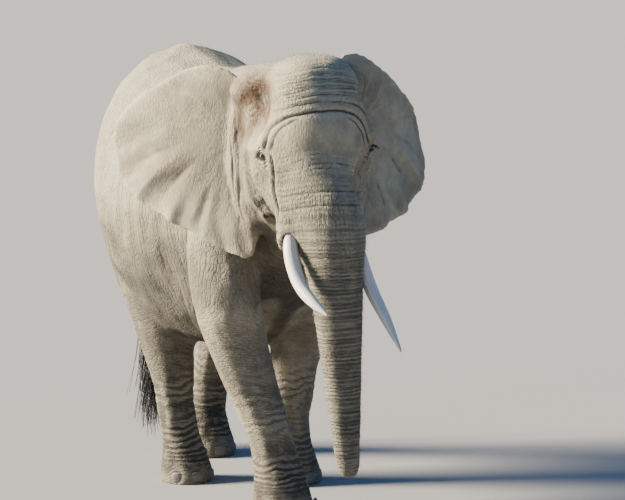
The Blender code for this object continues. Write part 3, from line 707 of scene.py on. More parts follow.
def body_folds(surface, size):
    """Slack skin of the flank, rump, shoulder, neck and belly, hanging in long upright folds."""
    spot = surface.places
    x, y, z = spot.T
    slack = rough(spot, (0.50, 0.34, 0.60), 79)
    upright = rolls(y / 0.125 + 0.35 * z + 1.9 * slack, 0.62)
    small = rolls(y / 0.052 + 0.5 * z + 2.6 * rough(spot, (0.30, 0.16, 0.34), 83), 0.7)
    rump = step(0.55, 1.25, y)
    armpit = bell(y - 0.02, 0.30) * bell(z - 1.12, 0.34)
    flank = bell(y - 0.86, 0.28) * bell(z - 1.15, 0.42)
    where = 0.22 + 0.50 * rump + 0.75 * armpit + 0.85 * flank + 0.7 * surface.shares["neck"]
    where = np.clip(where, 0.0, 1.15) * step(WITHERS_Z + 0.02, WITHERS_Z - 0.35, z)
    height = size.body_fold * (0.62 * upright + 0.30 * small) * where
    belly = step(1.15, 0.95, z) * bell(y - 0.35, 0.7)
    height += 0.4 * size.body_fold * rolls(x / 0.11 + 1.5 * slack, 0.7) * belly
    lumps = 0.0040 * rough(spot, 0.16, 89) + 0.0022 * rough(spot, 0.06, 97, 2)
    return (height + lumps) * surface.barrel


def even_rim(turn, distance):
    """How far out or in each point of an ear moves, so that the rim runs in one even line."""
    bins, window, width = 240, 24, 9.0
    at = (turn / np.pi + 0.5) * bins
    number = np.clip(at.astype(int), 0, bins - 1)
    rim = np.zeros(bins)
    np.maximum.at(rim, number, distance)
    filled = np.flatnonzero(rim > 0.0)
    rim = np.interp(np.arange(bins), filled, rim[filled])
    weights = bell(np.arange(-window, window + 1), width)
    even = np.convolve(np.pad(rim, window, mode="edge"), weights / weights.sum(), mode="valid")
    rim_here = np.interp(at - 0.5, np.arange(bins), rim)
    even_here = np.interp(at - 0.5, np.arange(bins), even)
    return (even_here - rim_here) * step(0.55, 0.95, distance / rim_here) * step(1.50, 1.15, np.abs(turn))


def ear_axes(flap, root):
    """The way an ear faces, and the ways out and up along it from its root."""
    middle = flap.mean(0)
    _, _, axes = np.linalg.svd(flap[::7] - middle, full_matrices=False)
    facing = axes[2] * np.sign(axes[2] @ HEAD.axes[1])
    outward = middle - root
    outward = unit_vector(outward - facing * (outward @ facing))
    upward = np.cross(facing, outward)
    return facing, outward, upward * np.sign(upward[2])


def ear_waves(surface, size):
    """Moves both faces of each ear together: soft billows, ripples to the rim and veins from the root."""
    least, flap_share = 0.004, 0.9
    moved = np.zeros_like(surface.places)
    relief = np.zeros(len(surface.places))
    for side, sign in SIDES.items():
        own = surface.ears[side]
        near = own > least
        share_here, places = own[near], surface.places[near]
        root = HEAD.world(np.array(EAR_ROOT) * (sign, 1.0, 1.0))
        facing, outward, upward = ear_axes(surface.places[own > flap_share], root)
        from_root = places - root
        out, up = from_root @ outward, from_root @ upward
        distance = np.hypot(out, up)
        turn = np.arctan2(up, np.maximum(out, 0.02))
        number = np.full(len(turn), sign)
        polar = np.stack([turn, distance, number], 1)
        slant = np.stack([turn + 0.55 * distance, distance, number], 1)
        reach = step(0.22, 0.66, distance)
        billow = 0.030 * noise(polar, (0.80, 0.42, EAR_APART), 101) * step(0.10, 0.40, distance)
        ripple = size.ear_ripple * noise(slant, (0.20, 0.42, EAR_APART), 103) * reach
        fine = 0.55 * size.ear_ripple * noise(slant, (0.105, 0.34, EAR_APART), 107) * reach
        fine = fine * step(0.6, -0.6, turn)
        moved[near] += ((billow + ripple + fine) * share_here)[:, None] * facing
        scallop = 0.009 * noise(slant, (0.115, 5.0, EAR_APART), 105) * step(0.35, 0.62, distance)
        outwards = (scallop + even_rim(turn, distance)) * share_here
        far = np.maximum(np.linalg.norm(from_root, axis=1), 1e-6)
        moved[near] += (outwards / far)[:, None] * from_root
        veins = rolls(turn * 2.3 + 1.2 * rough(polar, (0.6, 0.25, EAR_APART), 109), 0.7) + 0.6
        veins = veins * step(0.12, 0.24, distance) * step(0.8, 0.5, distance)
        relief[near] += (0.0012 * rough(places, 0.060, 113) - 0.0026 * veins) * share_here
    return moved, relief


def trunk_tip(surface):
    """Two nostrils side by side in the hollow end, with a finger before and behind them."""
    x, y, z = (surface.places - TRUNK_TIP).T
    side_x = np.abs(x)
    near = step(0.11, 0.03, z) * surface.shares["trunk_4"]
    nostrils = -0.030 * bell(np.hypot(side_x - 0.017, y), 0.016) * step(0.05, 0.01, z)
    septum = 0.006 * bell(side_x, 0.006) * bell(y, 0.02)
    front_finger = 0.011 * bell(side_x, 0.026) * bell(y + 0.046, 0.024)
    back_finger = 0.007 * bell(side_x, 0.03) * bell(y - 0.05, 0.02)
    lower = (nostrils + septum + front_finger + back_finger) * near
    return -lower[:, None] * UP


# ---------------------------------------------------------------- eyes and lids

class EyeFrame:
    """Where one eye looks: forward and up along the face, and out of the head."""

    def __init__(self, side):
        node = "eye_" + side
        low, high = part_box(node)
        self.centre = centre_of(node)
        self.radius = (high.z - low.z) / 2.0
        tree, _ = node_tree(["head"])
        ring, samples, upright_share, forward_share = 0.06, 16, 0.5, 0.42
        normals = []
        for turn in np.linspace(0, 2 * np.pi, samples):
            beside = HEAD.axes[1] * ring * math.cos(turn) + UP * ring * math.sin(turn)
            normals.append(np.array(tree.find_nearest(Vector(self.centre + beside))[1]))
        facing = np.mean(normals, axis=0) * (1.0, 1.0, upright_share)
        self.out = unit_vector(facing + forward_share * HEAD.axes[1])
        self.up = unit_vector(UP - self.out * (UP @ self.out))
        self.forward = np.cross(self.up, self.out)
        self.forward *= np.sign(self.forward @ HEAD.axes[1])

    def local(self, points):
        offset = points - self.centre
        return offset @ self.forward, offset @ self.up, offset @ self.out

    def world(self, forward, up, out):
        return self.centre + self.forward * forward + self.up * up + self.out * out


def lid_edges(along, size):
    """Heights of the upper and lower lid's edges at a place along the eye."""
    left = np.maximum(1.0 - (along / size.opening_width) ** 2, 0.0)
    return size.upper_lid * left, -size.lower_lid * left


def finer_near_eyes(mesh, frames, reach):
    """Divides the squares round each eye in four along each edge."""
    bm = bmesh.new()
    bm.from_mesh(mesh)
    for eye in frames:
        centre = Vector(eye.centre)
        close = {vertex for vertex in bm.verts if (vertex.co - centre).length_squared < reach * reach}
        edges = [edge for edge in bm.edges if close.issuperset(edge.verts)]
        bmesh.ops.subdivide_edges(bm, edges=edges, cuts=3, use_grid_fill=True)
    bm.to_mesh(mesh)
    bm.free()
    mesh.update()


# Folds round an eye: how far from the lid's edge, how deep, how wide, and how far along the eye
LID_FOLDS = (
    (0.0080, 0.0055, 0.0022, 0.034),
    (0.0190, 0.0080, 0.0036, 0.050),
    (0.0350, 0.0085, 0.0050, 0.062),
    (0.0540, 0.0065, 0.0062, 0.066),
)


def lid_folds(along, up, upper, lower, wave):
    """Creases that bow over the upper lid and hang under the lower."""
    height = np.zeros(len(along))
    for gap, depth, width, reach in LID_FOLDS:
        above = up - 0.9 * upper - gap + 3.5 * along * along + wave
        below = up - 0.9 * lower + 1.05 * gap - 4.5 * along * along + 1.5 * wave
        height += crease(above, width, depth, 0.6) * bell(along, reach)
        height += crease(-below, 1.1 * width, depth, 0.6) * bell(along + 0.004, 0.9 * reach)
    return height


def shape_lids(mesh, frames, size):
    """Draws the skin over the ball, opens it between the lids and folds it above and below them."""
    reach, soft, margin_height, ball_gap = 0.14, 0.004, 0.0010, 0.0065
    places = places_of(mesh)
    for eye in frames:
        along, up, out = eye.local(places)
        spread = np.hypot(along, up)
        near = np.sqrt(along * along + up * up + out * out) < reach
        shell = eye.radius + size.lid
        shoulder, slope = 0.86 * shell, 1.35
        dome = np.sqrt(np.maximum(shell ** 2 - np.minimum(spread, shoulder) ** 2, 0.0))
        dome = dome - slope * np.maximum(spread - shoulder, 0.0)
        lifted = 0.5 * (out + dome + np.sqrt((out - dome) ** 2 + soft ** 2))
        upper, lower = lid_edges(along, size)
        folds = lid_folds(along, up, upper, lower, 0.0016 * rough(places, 0.016, 127))
        inside = np.minimum(upper - up, up - lower)
        inside = np.where(np.abs(along) < size.opening_width, inside, -1.0)
        lifted = lifted + folds * step(0.0, 0.003, -inside) + margin_height * bell(inside + 0.0022, 0.0018)
        hidden = np.sqrt(np.maximum(eye.radius ** 2 - spread ** 2, 0.0)) - ball_gap
        opening = step(-0.0006, 0.0010, inside)
        target = lifted * (1.0 - opening) + np.minimum(hidden, lifted) * opening
        blend = step(0.105, 0.055, spread) * step(-0.06, -0.03, out) * near
        places = places + ((target - out) * blend)[:, None] * eye.out
    move_to(mesh, places)


def fold_mark(surface):
    """Above a half in hollows and below it on ridges."""
    places, normals, around = surface.places, surface.normals, surface.around
    close = ((around.mean(around.mean(places)) - places) * normals).sum(1)
    broad = ((around.spread(places, 10) - places) * normals).sum(1)
    hollow = around.spread(close, 1) / 0.0020 + broad / 0.0075
    return 0.5 + hollow * (1.0 - 0.50 * surface.barrel)


def stain_mark(surface, temple, patch):
    """Brown earth in the temple, at the ear's root, on the cheek and ears and towards the feet, where it is
    also painted shade.
    """
    side_head, z = surface.side_head, surface.places[:, 2]
    ear_root = 0.85 * blob(side_head, (0.34, -0.37, 0.10), (0.06, 0.10, 0.34))
    cheek = 0.50 * blob(side_head, (0.29, -0.15, -0.30), (0.10, 0.16, 0.14))
    cheek += 0.60 * blob(side_head, (0.315, -0.02, -0.13), (0.07, 0.10, 0.12))
    # towards the feet: earth, made stronger as painted shade on the lower legs
    foot = 0.65 * step(0.55, 0.05, z) + 0.25 * step(1.3, 0.5, z) * surface.legs
    tip = 0.45 * step(0.7, 0.35, z) * surface.trunk
    ears = 0.60 * surface.ear * step(-0.10, 0.60, rough(surface.places, 0.22, 191))
    return (temple + ear_root + cheek + foot + tip + ears) * patch


def painted_shade_mark(surface):
    """Painted shade on the legs, the lower flank, the underside, the plate and the lower trunk."""
    z = surface.places[:, 2]
    # painted shade, darker where the skin faces down, lies low or lies in shade
    grime = 0.40 * gathered(surface.shares, "foreleg") * step(1.3, 0.7, z)
    grime += 0.85 * gathered(surface.shares, "hindleg")
    grime += (0.9 * step(0.1, -0.7, surface.normals[:, 2]) + 0.55 * step(1.8, 1.2, z)) * surface.barrel
    grime += 0.55 * step(0.5, 0.2, z)
    grime += 0.36 * blob(surface.head, (0.03, 0.26, 0.14), (0.24, 0.20, 0.20))
    grime += 0.80 * step(1.9, 0.9, z) * surface.trunk
    return grime * (0.80 + 0.35 * rough(surface.places, 0.20, 193))


def damp_and_lid_shade_mark(surface):
    """The streak below the temple, the mouth, and the dark skin and tears of each eye, whose dark patch is
    also painted shade of the lids.
    """
    places, side_head = surface.places, surface.side_head
    side_x, y, z = side_head.T
    streak = bell(y + 0.30 + 0.15 * z + 0.02 * rough(places, 0.08, 137), 0.020)
    streak = 0.55 * streak * step(0.02, -0.05, z) * step(-0.38, -0.30, z) * step(0.22, 0.26, side_x)
    blotches = step(-0.35, 0.30, rough(places, 0.035, 139))
    mouth = 2.2 * blob(side_head, (0.285, -0.18, -0.315), (0.08, 0.10, 0.070)) * blotches
    damp = (streak + mouth) * surface.head_share
    for side in SIDES:
        along, up, out = EyeFrame(side).local(places)
        outward = step(-0.075, -0.045, out)
        # dark skin round each eye, made wide as painted shade of the lids
        dark_skin_and_lid_shade = step(0.060, 0.037, np.hypot((along + 0.027) / 1.4, 1.8 * up - 0.05 * along))
        tears = bell(along - 0.026 - 0.20 * up, 0.009) * step(0.0, -0.02, up) * step(-0.12, -0.05, up)
        damp = damp + (dark_skin_and_lid_shade + 0.60 * tears) * outward
    return damp


def hairy_mark(surface):
    """Where the short stiff hairs stand."""
    crown = step(-0.1, 0.4, surface.head[:, 2]) * surface.shares["head"]
    back = step(0.5, 0.95, surface.normals[:, 2]) * surface.barrel
    hairy = 0.9 * surface.trunk + 0.8 * surface.shares["lower_jaw"] + 0.5 * surface.tail
    hairy = hairy + 0.6 * crown + 0.30 * back
    return np.clip(hairy, 0.02, 1.0) * step(0.10, 0.30, surface.places[:, 2])


def marks(surface):
    """Keeps on the skin what its material reads: folds, which it darkens as painted shade, earth, painted
    shade, damp with painted shade round the eyes, dust with painted light, and where the hide is banded.
    """
    mesh, places, normals, side_head = surface.mesh, surface.places, surface.normals, surface.side_head
    patch = 0.65 + 0.5 * rough(places, 0.12, 131)
    temple = 2.3 * blob(side_head, (0.26, -0.17, 0.26), (0.13, 0.21, 0.16))
    store_share(mesh, "fold", fold_mark(surface))
    store_share(mesh, "stain", stain_mark(surface, temple, patch))
    # painted shade on the legs, the underside, the plate and the lower trunk
    store_share(mesh, "grime", painted_shade_mark(surface))
    store_share(mesh, "damp", damp_and_lid_shade_mark(surface))
    top = step(-0.1, 0.9, normals[:, 2]) * step(1.0, 1.9, places[:, 2])
    # painted light: paler on the upper flank and beside the eye, where the main light falls
    above_flank = 0.9 * step(1.2, 1.8, places[:, 2]) * surface.barrel
    by_eye = 1.3 * blob(side_head, (0.31, -0.13, 0.10), (0.12, 0.11, 0.12))
    store_share(mesh, "dust", top + 0.5 * surface.ear * patch + above_flank + by_eye)
    low_trunk = step(0.20, 0.60, down_trunk(surface)) * surface.trunk
    store_share(mesh, "banded", low_trunk + surface.legs)
    plate = np.clip(1.4 * blob(surface.head, (-0.02, 0.24, 0.11), (0.22, 0.17, 0.13)), 0.0, 1.0)
    near_eye = bell(np.linalg.norm(side_head - (HEAD.half, 0.0, 0.0), axis=1), 0.075)
    store_share(mesh, "sleek", 0.90 * surface.ear + plate + 0.4 * temple + near_eye)
    store_share(mesh, "hairy", hairy_mark(surface))


def fine_lines(surface, size):
    """Keeps on the skin where its finest wrinkles lie: at each whole number of ply, as strongly as plied."""
    spot = surface.places
    x, y, z = surface.head.T
    side_x = surface.side_head[:, 0]
    wave = 0.030 * rough(spot, (0.16, 0.16, 0.10), 181)
    drop = down_trunk(surface)
    front = front_of_trunk(surface)
    rings = ring_turns(surface, size) * 3.4 + 8.0 * wave
    lower = step(0.25, 0.60, drop)
    flutes = turn_about_trunk(spot) * 17.0 + 9.0 * wave
    brow = forehead(x, z, 0.27, 0.32) * step(-0.02, 0.08, y) * surface.head_share
    before = before_ear(y, z)
    by_ear = bell(before + 0.055, 0.055) * step(0.21, 0.27, side_x) * step(-0.46, -0.36, z)
    from_eye = np.linalg.norm((surface.side_head - (0.305, 0.0, 0.0)) * (0.6, 1.0, 1.0), axis=1)
    bag = bell(from_eye - 0.075, 0.055) * step(0.06, -0.02, z) * surface.head_share
    round_leg = (spot[:, 2] + 1.6 * wave + 0.35 * (spot[:, 0] + spot[:, 1])) / 0.026
    upright = spot[:, 1] / 0.030 + 0.8 * spot[:, 2] + 20.0 * wave
    choices = (
        (rings, 0.95 * front * lower * (1.0 - surface.shares["head"])),
        (flutes, 0.75 * front * step(0.08, 0.20, drop) * (1.0 - lower)),
        ((z + 0.9 * x * x) / 0.017 + 18.0 * wave, 0.85 * brow),
        (before / 0.016 + 6.0 * wave, 0.95 * by_ear * (1.0 - surface.ear)),
        (from_eye / 0.014 + 12.0 * wave, 0.50 * bag),
        (round_leg, surface.legs * (0.35 + 0.25 * step(0.75, 0.45, spot[:, 2]))),
        (upright, 0.62 * surface.barrel),
    )
    turns = np.stack([turn for turn, _ in choices])
    weights = np.stack([weight for _, weight in choices])
    ordered = np.sort(weights, 0)
    store(surface.mesh, "ply", np.take_along_axis(turns, weights.argmax(0)[None], 0)[0])
    store_share(surface.mesh, "plied", ordered[-1] - ordered[-2])


def sculpted_skin(size, eyes):
    """The whole hide as one closed surface that stands on the floor."""
    lid_reach = 0.062
    skin = fused_flesh(size.grain * (1.0))
    faired_skin(skin)
    surface = Surface(skin.data)
    surface.raise_by(bulk(surface))
    surface.shift_by(narrowed_root(surface))
    moved, relief = ear_waves(surface, size)
    folds = head_folds(surface, size) + trunk_rings(surface, size) + leg_folds(surface, size)
    surface.raise_by(folds + body_folds(surface, size) + relief)
    move_to(skin.data, surface.places + moved + trunk_tip(surface))
    frames = [EyeFrame(side) for side in SIDES]
    finer_near_eyes(skin.data, frames, lid_reach)
    shape_lids(skin.data, frames, eyes)
    standing = places_of(skin.data)
    standing[:, 2] = np.maximum(standing[:, 2], 0.0)
    move_to(skin.data, standing)
    surface = Surface(skin.data)
    marks(surface)
    fine_lines(surface, size)
    for node in FLESH:
        skin.data.attributes.remove(skin.data.attributes[SHARE + node])
    with_modifier(skin, "TRIANGULATE")
    whole = len(skin.data.polygons)
    if whole > size.triangles:
        with_modifier(skin, "DECIMATE", ratio=size.triangles / whole)
    smooth_shaded(skin.data)
    return skin


# ---------------------------------------------------------------- materials

def fill(tree, socket, value):
    """Links a socket to another node's output, or sets it to a plain value."""
    if isinstance(value, bpy.types.NodeSocket):
        tree.links.new(value, socket)
    elif socket.type == "RGBA":
        socket.default_value = (*tuple(value)[:3], 1.0)
    else:
        socket.default_value = value


def new_node(tree, kind, options, inputs):
    """Adds a node with its options and inputs, whose names hold an underscore for each space."""
    node = tree.nodes.new(kind)
    for name, value in (options or {}).items():
        setattr(node, name, value)
    for name, value in inputs.items():
        fill(tree, node.inputs[name.replace("_", " ")], value)
    return node


def tinted(tone, factor, lift=0.0):
    """A colour made darker or paler."""
    return tuple(min(1.0, factor * part + lift) for part in tone)


class Finish:
    """Builds one material's nodes with short calls."""

    def __init__(self, name, slot_colour):
        self.material = bpy.data.materials.new(name)
        self.material.diffuse_color = (*slot_colour, 1.0)
        self.material.use_nodes = True
        self.tree = self.material.node_tree
        self.tree.nodes.clear()
        self.surface = self.add("BsdfPrincipled")
        output = self.add("OutputMaterial")
        self.tree.links.new(self.surface.outputs[0], output.inputs["Surface"])
        self.spot = self.add("TexCoord").outputs["Object"]

    def add(self, kind, options=None, **inputs):
        return new_node(self.tree, "ShaderNode" + kind, options, inputs)

    def filled(self, kind, options, values, output=0):
        """Adds a node whose inputs are filled by their numbers, and gives one of its outputs."""
        node = self.add(kind, options)
        for number, value in values.items():
            fill(self.tree, node.inputs[number], value)
        return node.outputs[output]

    def set(self, **inputs):
        """Puts values or links on the shader's own sockets."""
        for name, value in inputs.items():
            fill(self.tree, self.surface.inputs[name.replace("_", " ")], value)

    def kept(self, name):
        """A number that the mesh keeps for each point."""
        return self.add("Attribute", {"attribute_name": name}).outputs["Fac"]

    def kept_vector(self, name):
        """Three numbers that the mesh keeps for each point."""
        return self.add("Attribute", {"attribute_name": name}).outputs["Vector"]

    def noise(self, scale, detail=4.0, roughness=0.55, spot=None):
        return self.add("TexNoise", Vector=spot or self.spot, Scale=scale, Detail=detail,
                        Roughness=roughness).outputs[0]

    def cracks(self, spot, scale):
        """Distance from the nearest line of a net of lines."""
        return self.add("TexVoronoi", {"feature": "DISTANCE_TO_EDGE"}, Vector=spot,
                        Scale=scale).outputs["Distance"]

    def stretched(self, spot, scale):
        return self.add("Mapping", Vector=spot, Scale=scale).outputs[0]

    def bent(self, spot, scale, amount):
        """The same places, moved about by noise of that scale."""
        wave = self.add("TexNoise", Vector=spot, Scale=scale, Detail=2.0).outputs["Color"]
        amounts = Vector((amount, amount, amount))
        return self.filled("VectorMath", {"operation": "MULTIPLY_ADD"}, {0: wave, 1: amounts, 2: spot})

    def range(self, value, low, high, start=0.0, end=1.0):
        """Runs smoothly from start, where the value is low, to end, where it is high."""
        values = dict(enumerate((value, low, high, start, end)))
        return self.filled("MapRange", {"interpolation_type": "SMOOTHSTEP"}, values)

    def math(self, operation, first, second=0.0):
        return self.filled("Math", {"operation": operation}, {0: first, 1: second})

    def times(self, first, second):
        return self.math("MULTIPLY", first, second)

    def plus(self, first, second):
        return self.math("ADD", first, second)

    def blend(self, factor, first, second):
        """The first colour where the factor is 0 and the second where it is 1."""
        return self.filled("Mix", {"data_type": "RGBA"}, {0: factor, 6: first, 7: second}, output=2)

    def fade(self, factor, first, second):
        """The same for numbers."""
        return self.filled("Mix", None, {0: factor, 2: first, 3: second})

    def bump(self, height, distance, strength=1.0):
        return self.add("Bump", Height=height, Distance=distance, Strength=strength).outputs[0]


def hide_finish(size):
    """Dry grey-brown hide with a net of fine cracks, brown earth, dust and painted light on top, and painted
    shade in the hollows and over the shaded parts.
    """
    made = Finish("dusty_hide", size.deep)
    spot = made.bent(made.spot, 7.0, 0.050)
    banded = made.kept("banded")
    open_net = made.cracks(made.stretched(spot, (1.0, 1.0, 0.50)), 46.0)
    band_net = made.cracks(made.stretched(spot, (0.62, 0.62, 1.9)), 44.0)
    net = made.fade(banded, open_net, band_net)
    fine = made.cracks(made.bent(made.spot, 30.0, 0.012), 118.0)
    grit = made.noise(210.0, 3.0)
    patchy = made.range(made.noise(5.0, 3.0), 0.32, 0.68, 0.25, 1.0)
    line = made.times(made.range(net, 0.0, 0.085, 1.0, 0.0), patchy)
    fine_line = made.range(fine, 0.0, 0.09, 1.0, 0.0)
    ply = made.plus(made.kept("ply"), made.times(made.noise(20.0, 2.0), 0.9))
    from_middle = made.math("ABSOLUTE", made.plus(made.math("FRACT", ply), -0.5))
    strong = made.times(made.kept("plied"), made.range(made.noise(9.0, 3.0), 0.34, 0.60, 0.15, 1.0))
    ply_line = made.times(made.range(from_middle, 0.26, 0.48), strong)
    clouds = made.range(made.noise(11.0, 5.0, 0.65), 0.30, 0.72, 0.0, 0.40)
    fold = made.kept("fold")
    sleek = made.kept("sleek")
    rugged = made.range(sleek, 0.0, 1.0, 1.0, 0.30)
    earth = made.range(made.noise(16.0, 4.0, 0.6), 0.22, 0.60, 0.45, 1.0)
    damp = made.times(made.kept("damp"), made.range(made.noise(60.0, 3.0), 0.30, 0.55, 0.80, 1.0))
    # painted shade: darker where the skin lies in a hollow
    in_fold = made.times(made.range(fold, 0.60, 1.04), made.range(banded, 0.0, 1.0, 0.75, 0.25))

    colour_now = size.deep
    for factor, over in (
        (made.range(made.noise(1.7, 5.0), 0.32, 0.62, 0.38, 1.0), size.pale),  # dusty places
        (clouds, tinted(size.deep, 0.72)),  # darker clouds
        (made.times(made.kept("dust"), 0.55), size.pale),  # dust on top, and painted light on the upper flank and beside the eye
        (made.times(made.kept("stain"), earth), size.stain),  # brown earth
        (made.times(made.kept("grime"), 0.75), size.grime),  # painted shade
        (made.range(fold, 0.46, 0.10, 0.0, 0.34), tinted(size.pale, 1.22)),  # paler on the ridges
        (made.range(grit, 0.35, 0.75, 0.0, 0.16), size.crease),  # grit
        (made.times(line, made.times(rugged, 0.50)), size.crease),  # the net of cracks
        (made.times(ply_line, 0.40), size.crease),  # the finest wrinkles
        (made.times(fine_line, made.times(rugged, 0.18)), size.crease),  # the finer net
        (in_fold, size.crease),  # painted shade in the folds
        (damp, size.damp),  # damp places, and painted shade round the eyes
    ):
        colour_now = made.blend(factor, colour_now, over)

    plates = made.times(made.range(net, 0.0, 0.22), patchy)
    height = made.plus(plates, made.times(made.range(fine, 0.0, 0.24), 0.40))
    height = made.plus(height, made.times(grit, 0.22))
    height = made.times(height, made.range(sleek, 0.0, 1.0, 1.0, 0.32))
    height = made.plus(height, made.times(ply_line, -1.3))
    dry = made.range(made.noise(24.0), 0.3, 0.7, 0.72, 0.90)
    made.set(Base_Color=colour_now, Normal=made.bump(height, 0.0034), Roughness=made.fade(damp, dry, 0.42))
    made.set(Specular_IOR_Level=0.12)
    return made.material


def eye_finish(size):
    """Dark brown iris with fine spokes round a black pupil, under a wet clear coat."""
    made = Finish("wet_eye", size.iris)
    from_axis = made.kept("from_axis")
    spokes = made.noise(5.5, 4.0, 0.7, made.stretched(made.kept_vector("ray"), (1.0, 1.0, 0.25)))
    iris = made.blend(made.range(spokes, 0.30, 0.70), tinted(size.iris, 0.35), size.iris)
    rim = made.range(from_axis, 0.78 * size.iris_size, size.iris_size)
    iris = made.blend(rim, iris, tinted(size.iris, 0.15))
    veins = made.range(made.noise(260.0, 3.0), 0.4, 0.75, 0.0, 0.5)
    white = made.blend(veins, size.white, size.vein)
    outer = made.range(from_axis, 0.98 * size.iris_size, 1.08 * size.iris_size)
    colour_now = made.blend(outer, iris, white)
    pupil = made.range(from_axis, 1.06 * size.pupil_size, 0.94 * size.pupil_size)
    colour_now = made.blend(pupil, colour_now, size.pupil)
    made.set(Base_Color=colour_now, Roughness=made.fade(outer, 0.16, 0.34))
    made.set(Coat_Weight=1.0, Coat_Roughness=0.03, Normal=made.bump(veins, 0.0002, 0.5))
    return made.material


def ivory_finish(size):
    """Rubbed ivory with fine lines along the tusk, brown by the lip and scuffed at the point."""
    made = Finish("rubbed_ivory", size.clean)
    along = made.kept("along")
    grain = made.kept_vector("grain")
    lines = made.noise(3.2, 6.0, 0.72, made.stretched(grain, (2.2, 2.2, 0.9)))
    clouds = made.noise(1.3, 3.0, 0.5, grain)
    colour_now = made.blend(made.range(lines, 0.42, 0.64, 0.0, 0.85), size.clean, size.streak)
    colour_now = made.blend(made.range(clouds, 0.45, 0.75, 0.0, 0.30), colour_now, tinted(size.clean, 0.8))
    root = made.range(made.plus(along, made.times(clouds, 0.18)), 0.42, 0.16, 0.0, 0.75)
    colour_now = made.blend(root, colour_now, size.root)
    point = made.range(made.plus(along, made.times(lines, 0.10)), 0.93, 1.03, 0.0, 0.55)
    colour_now = made.blend(point, colour_now, size.streak)
    scratches = made.cracks(made.stretched(grain, (3.0, 3.0, 1.1)), 3.0)
    height = made.plus(lines, made.times(made.range(scratches, 0.0, 0.05), 0.5))
    made.set(Base_Color=colour_now, Normal=made.bump(height, 0.0012, 0.8))
    made.set(Roughness=made.range(lines, 0.35, 0.75, 0.30, 0.52))
    made.set(Subsurface_Weight=0.08, Subsurface_Radius=(0.012, 0.008, 0.005))
    made.set(Coat_Weight=0.15, Coat_Roughness=0.28)
    return made.material


def nail_finish(size):
    """Worn horn with growth lines across it, dusty above and dark at the sole."""
    made = Finish("worn_nail", size.nail_pale)
    lines = made.noise(46.0, 4.0, 0.6, made.stretched(made.spot, (0.22, 0.22, 2.0)))
    chips = made.noise(90.0, 5.0, 0.65)
    height_z = made.add("SeparateXYZ", Vector=made.spot).outputs["Z"]
    low = made.range(made.plus(height_z, made.times(chips, 0.02)), 0.055, 0.020)
    colour_now = made.blend(made.range(lines, 0.35, 0.65), size.nail_pale, tinted(size.nail_pale, 0.78))
    colour_now = made.blend(low, colour_now, size.nail_deep)
    colour_now = made.blend(made.range(chips, 0.55, 0.75, 0.0, 0.5), colour_now, size.nail_deep)
    height = made.plus(lines, made.times(chips, 0.4))
    made.set(Base_Color=colour_now, Normal=made.bump(height, 0.0014))
    made.set(Roughness=made.range(chips, 0.3, 0.7, 0.50, 0.75))
    return made.material


def hair_finish(name, tone):
    """Coarse wiry hair, a little paler and browner towards the tip."""
    made = Finish(name, tone)
    along = made.kept("tip")
    mottle = made.noise(30.0, 3.0)
    pale = tinted(tone, 1.3, 0.001)
    factor = made.times(made.range(along, 0.3, 1.0), made.range(mottle, 0.3, 0.7, 0.2, 0.8))
    made.set(Base_Color=made.blend(factor, tone, pale), Roughness=made.range(mottle, 0.3, 0.7, 0.38, 0.58))
    return made.material


def floor_finish(tone):
    """A plain floor with hardly any clouding."""
    made = Finish("pale_floor", tone)
    cloud = made.range(made.noise(0.35, 3.0), 0.35, 0.65, 0.0, 0.25)
    made.set(Base_Color=made.blend(cloud, tone, tinted(tone, 0.94)), Roughness=0.9)
    return made.material


# ---------------------------------------------------------------- eyes, tusks and nails

def placed(piece, slot, material, *nodes):
    """Gives a finished piece its material and body, and hides the CAD nodes that it stands for."""
    piece.data.materials.clear()
    piece.data.materials.append(material)
    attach(piece, BODY)
    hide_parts(*nodes)


def eyeball(side, size):
    """A ball with a bulging cornea that looks out between the lids."""
    eye = EyeFrame(side)
    bm = bmesh.new()
    bmesh.ops.create_uvsphere(bm, u_segments=48, v_segments=40, radius=1.0)
    piece = object_of("eyeball_" + side, bpy.data.meshes.new("eyeball_" + side))
    bm.to_mesh(piece.data)
    bm.free()
    unit = places_of(piece.data)
    unit = unit / np.linalg.norm(unit, axis=1)[:, None]
    off_axis = np.arccos(np.clip(unit[:, 2], -1.0, 1.0)) * eye.radius
    turn = np.arctan2(unit[:, 1], unit[:, 0])
    ball, cornea, look_forward, look_down = 0.975, 0.055, 0.10, 0.05
    reach = eye.radius * (ball + cornea * bell(off_axis, 0.85 * size.iris_size))
    gaze = unit_vector(eye.out + look_forward * eye.forward - look_down * eye.up)
    across = unit_vector(np.cross(eye.up, gaze))
    axes = np.stack([across, np.cross(gaze, across), gaze])
    move_to(piece.data, eye.centre + (unit * reach[:, None]) @ axes)
    store(piece.data, "from_axis", off_axis)
    store_vectors(piece.data, "ray", np.stack([np.cos(turn), np.sin(turn), off_axis * 60.0], 1))
    smooth_shaded(piece.data)
    return piece


def rounded(node, levels):
    """A CAD node's shape with its flat faces rounded."""
    piece = object_of(node + "_rounded", mesh_of(node + "_rounded", *merged(node)))
    with_modifier(piece, "SUBSURF", levels=levels, render_levels=levels)
    smooth_shaded(piece.data)
    return piece


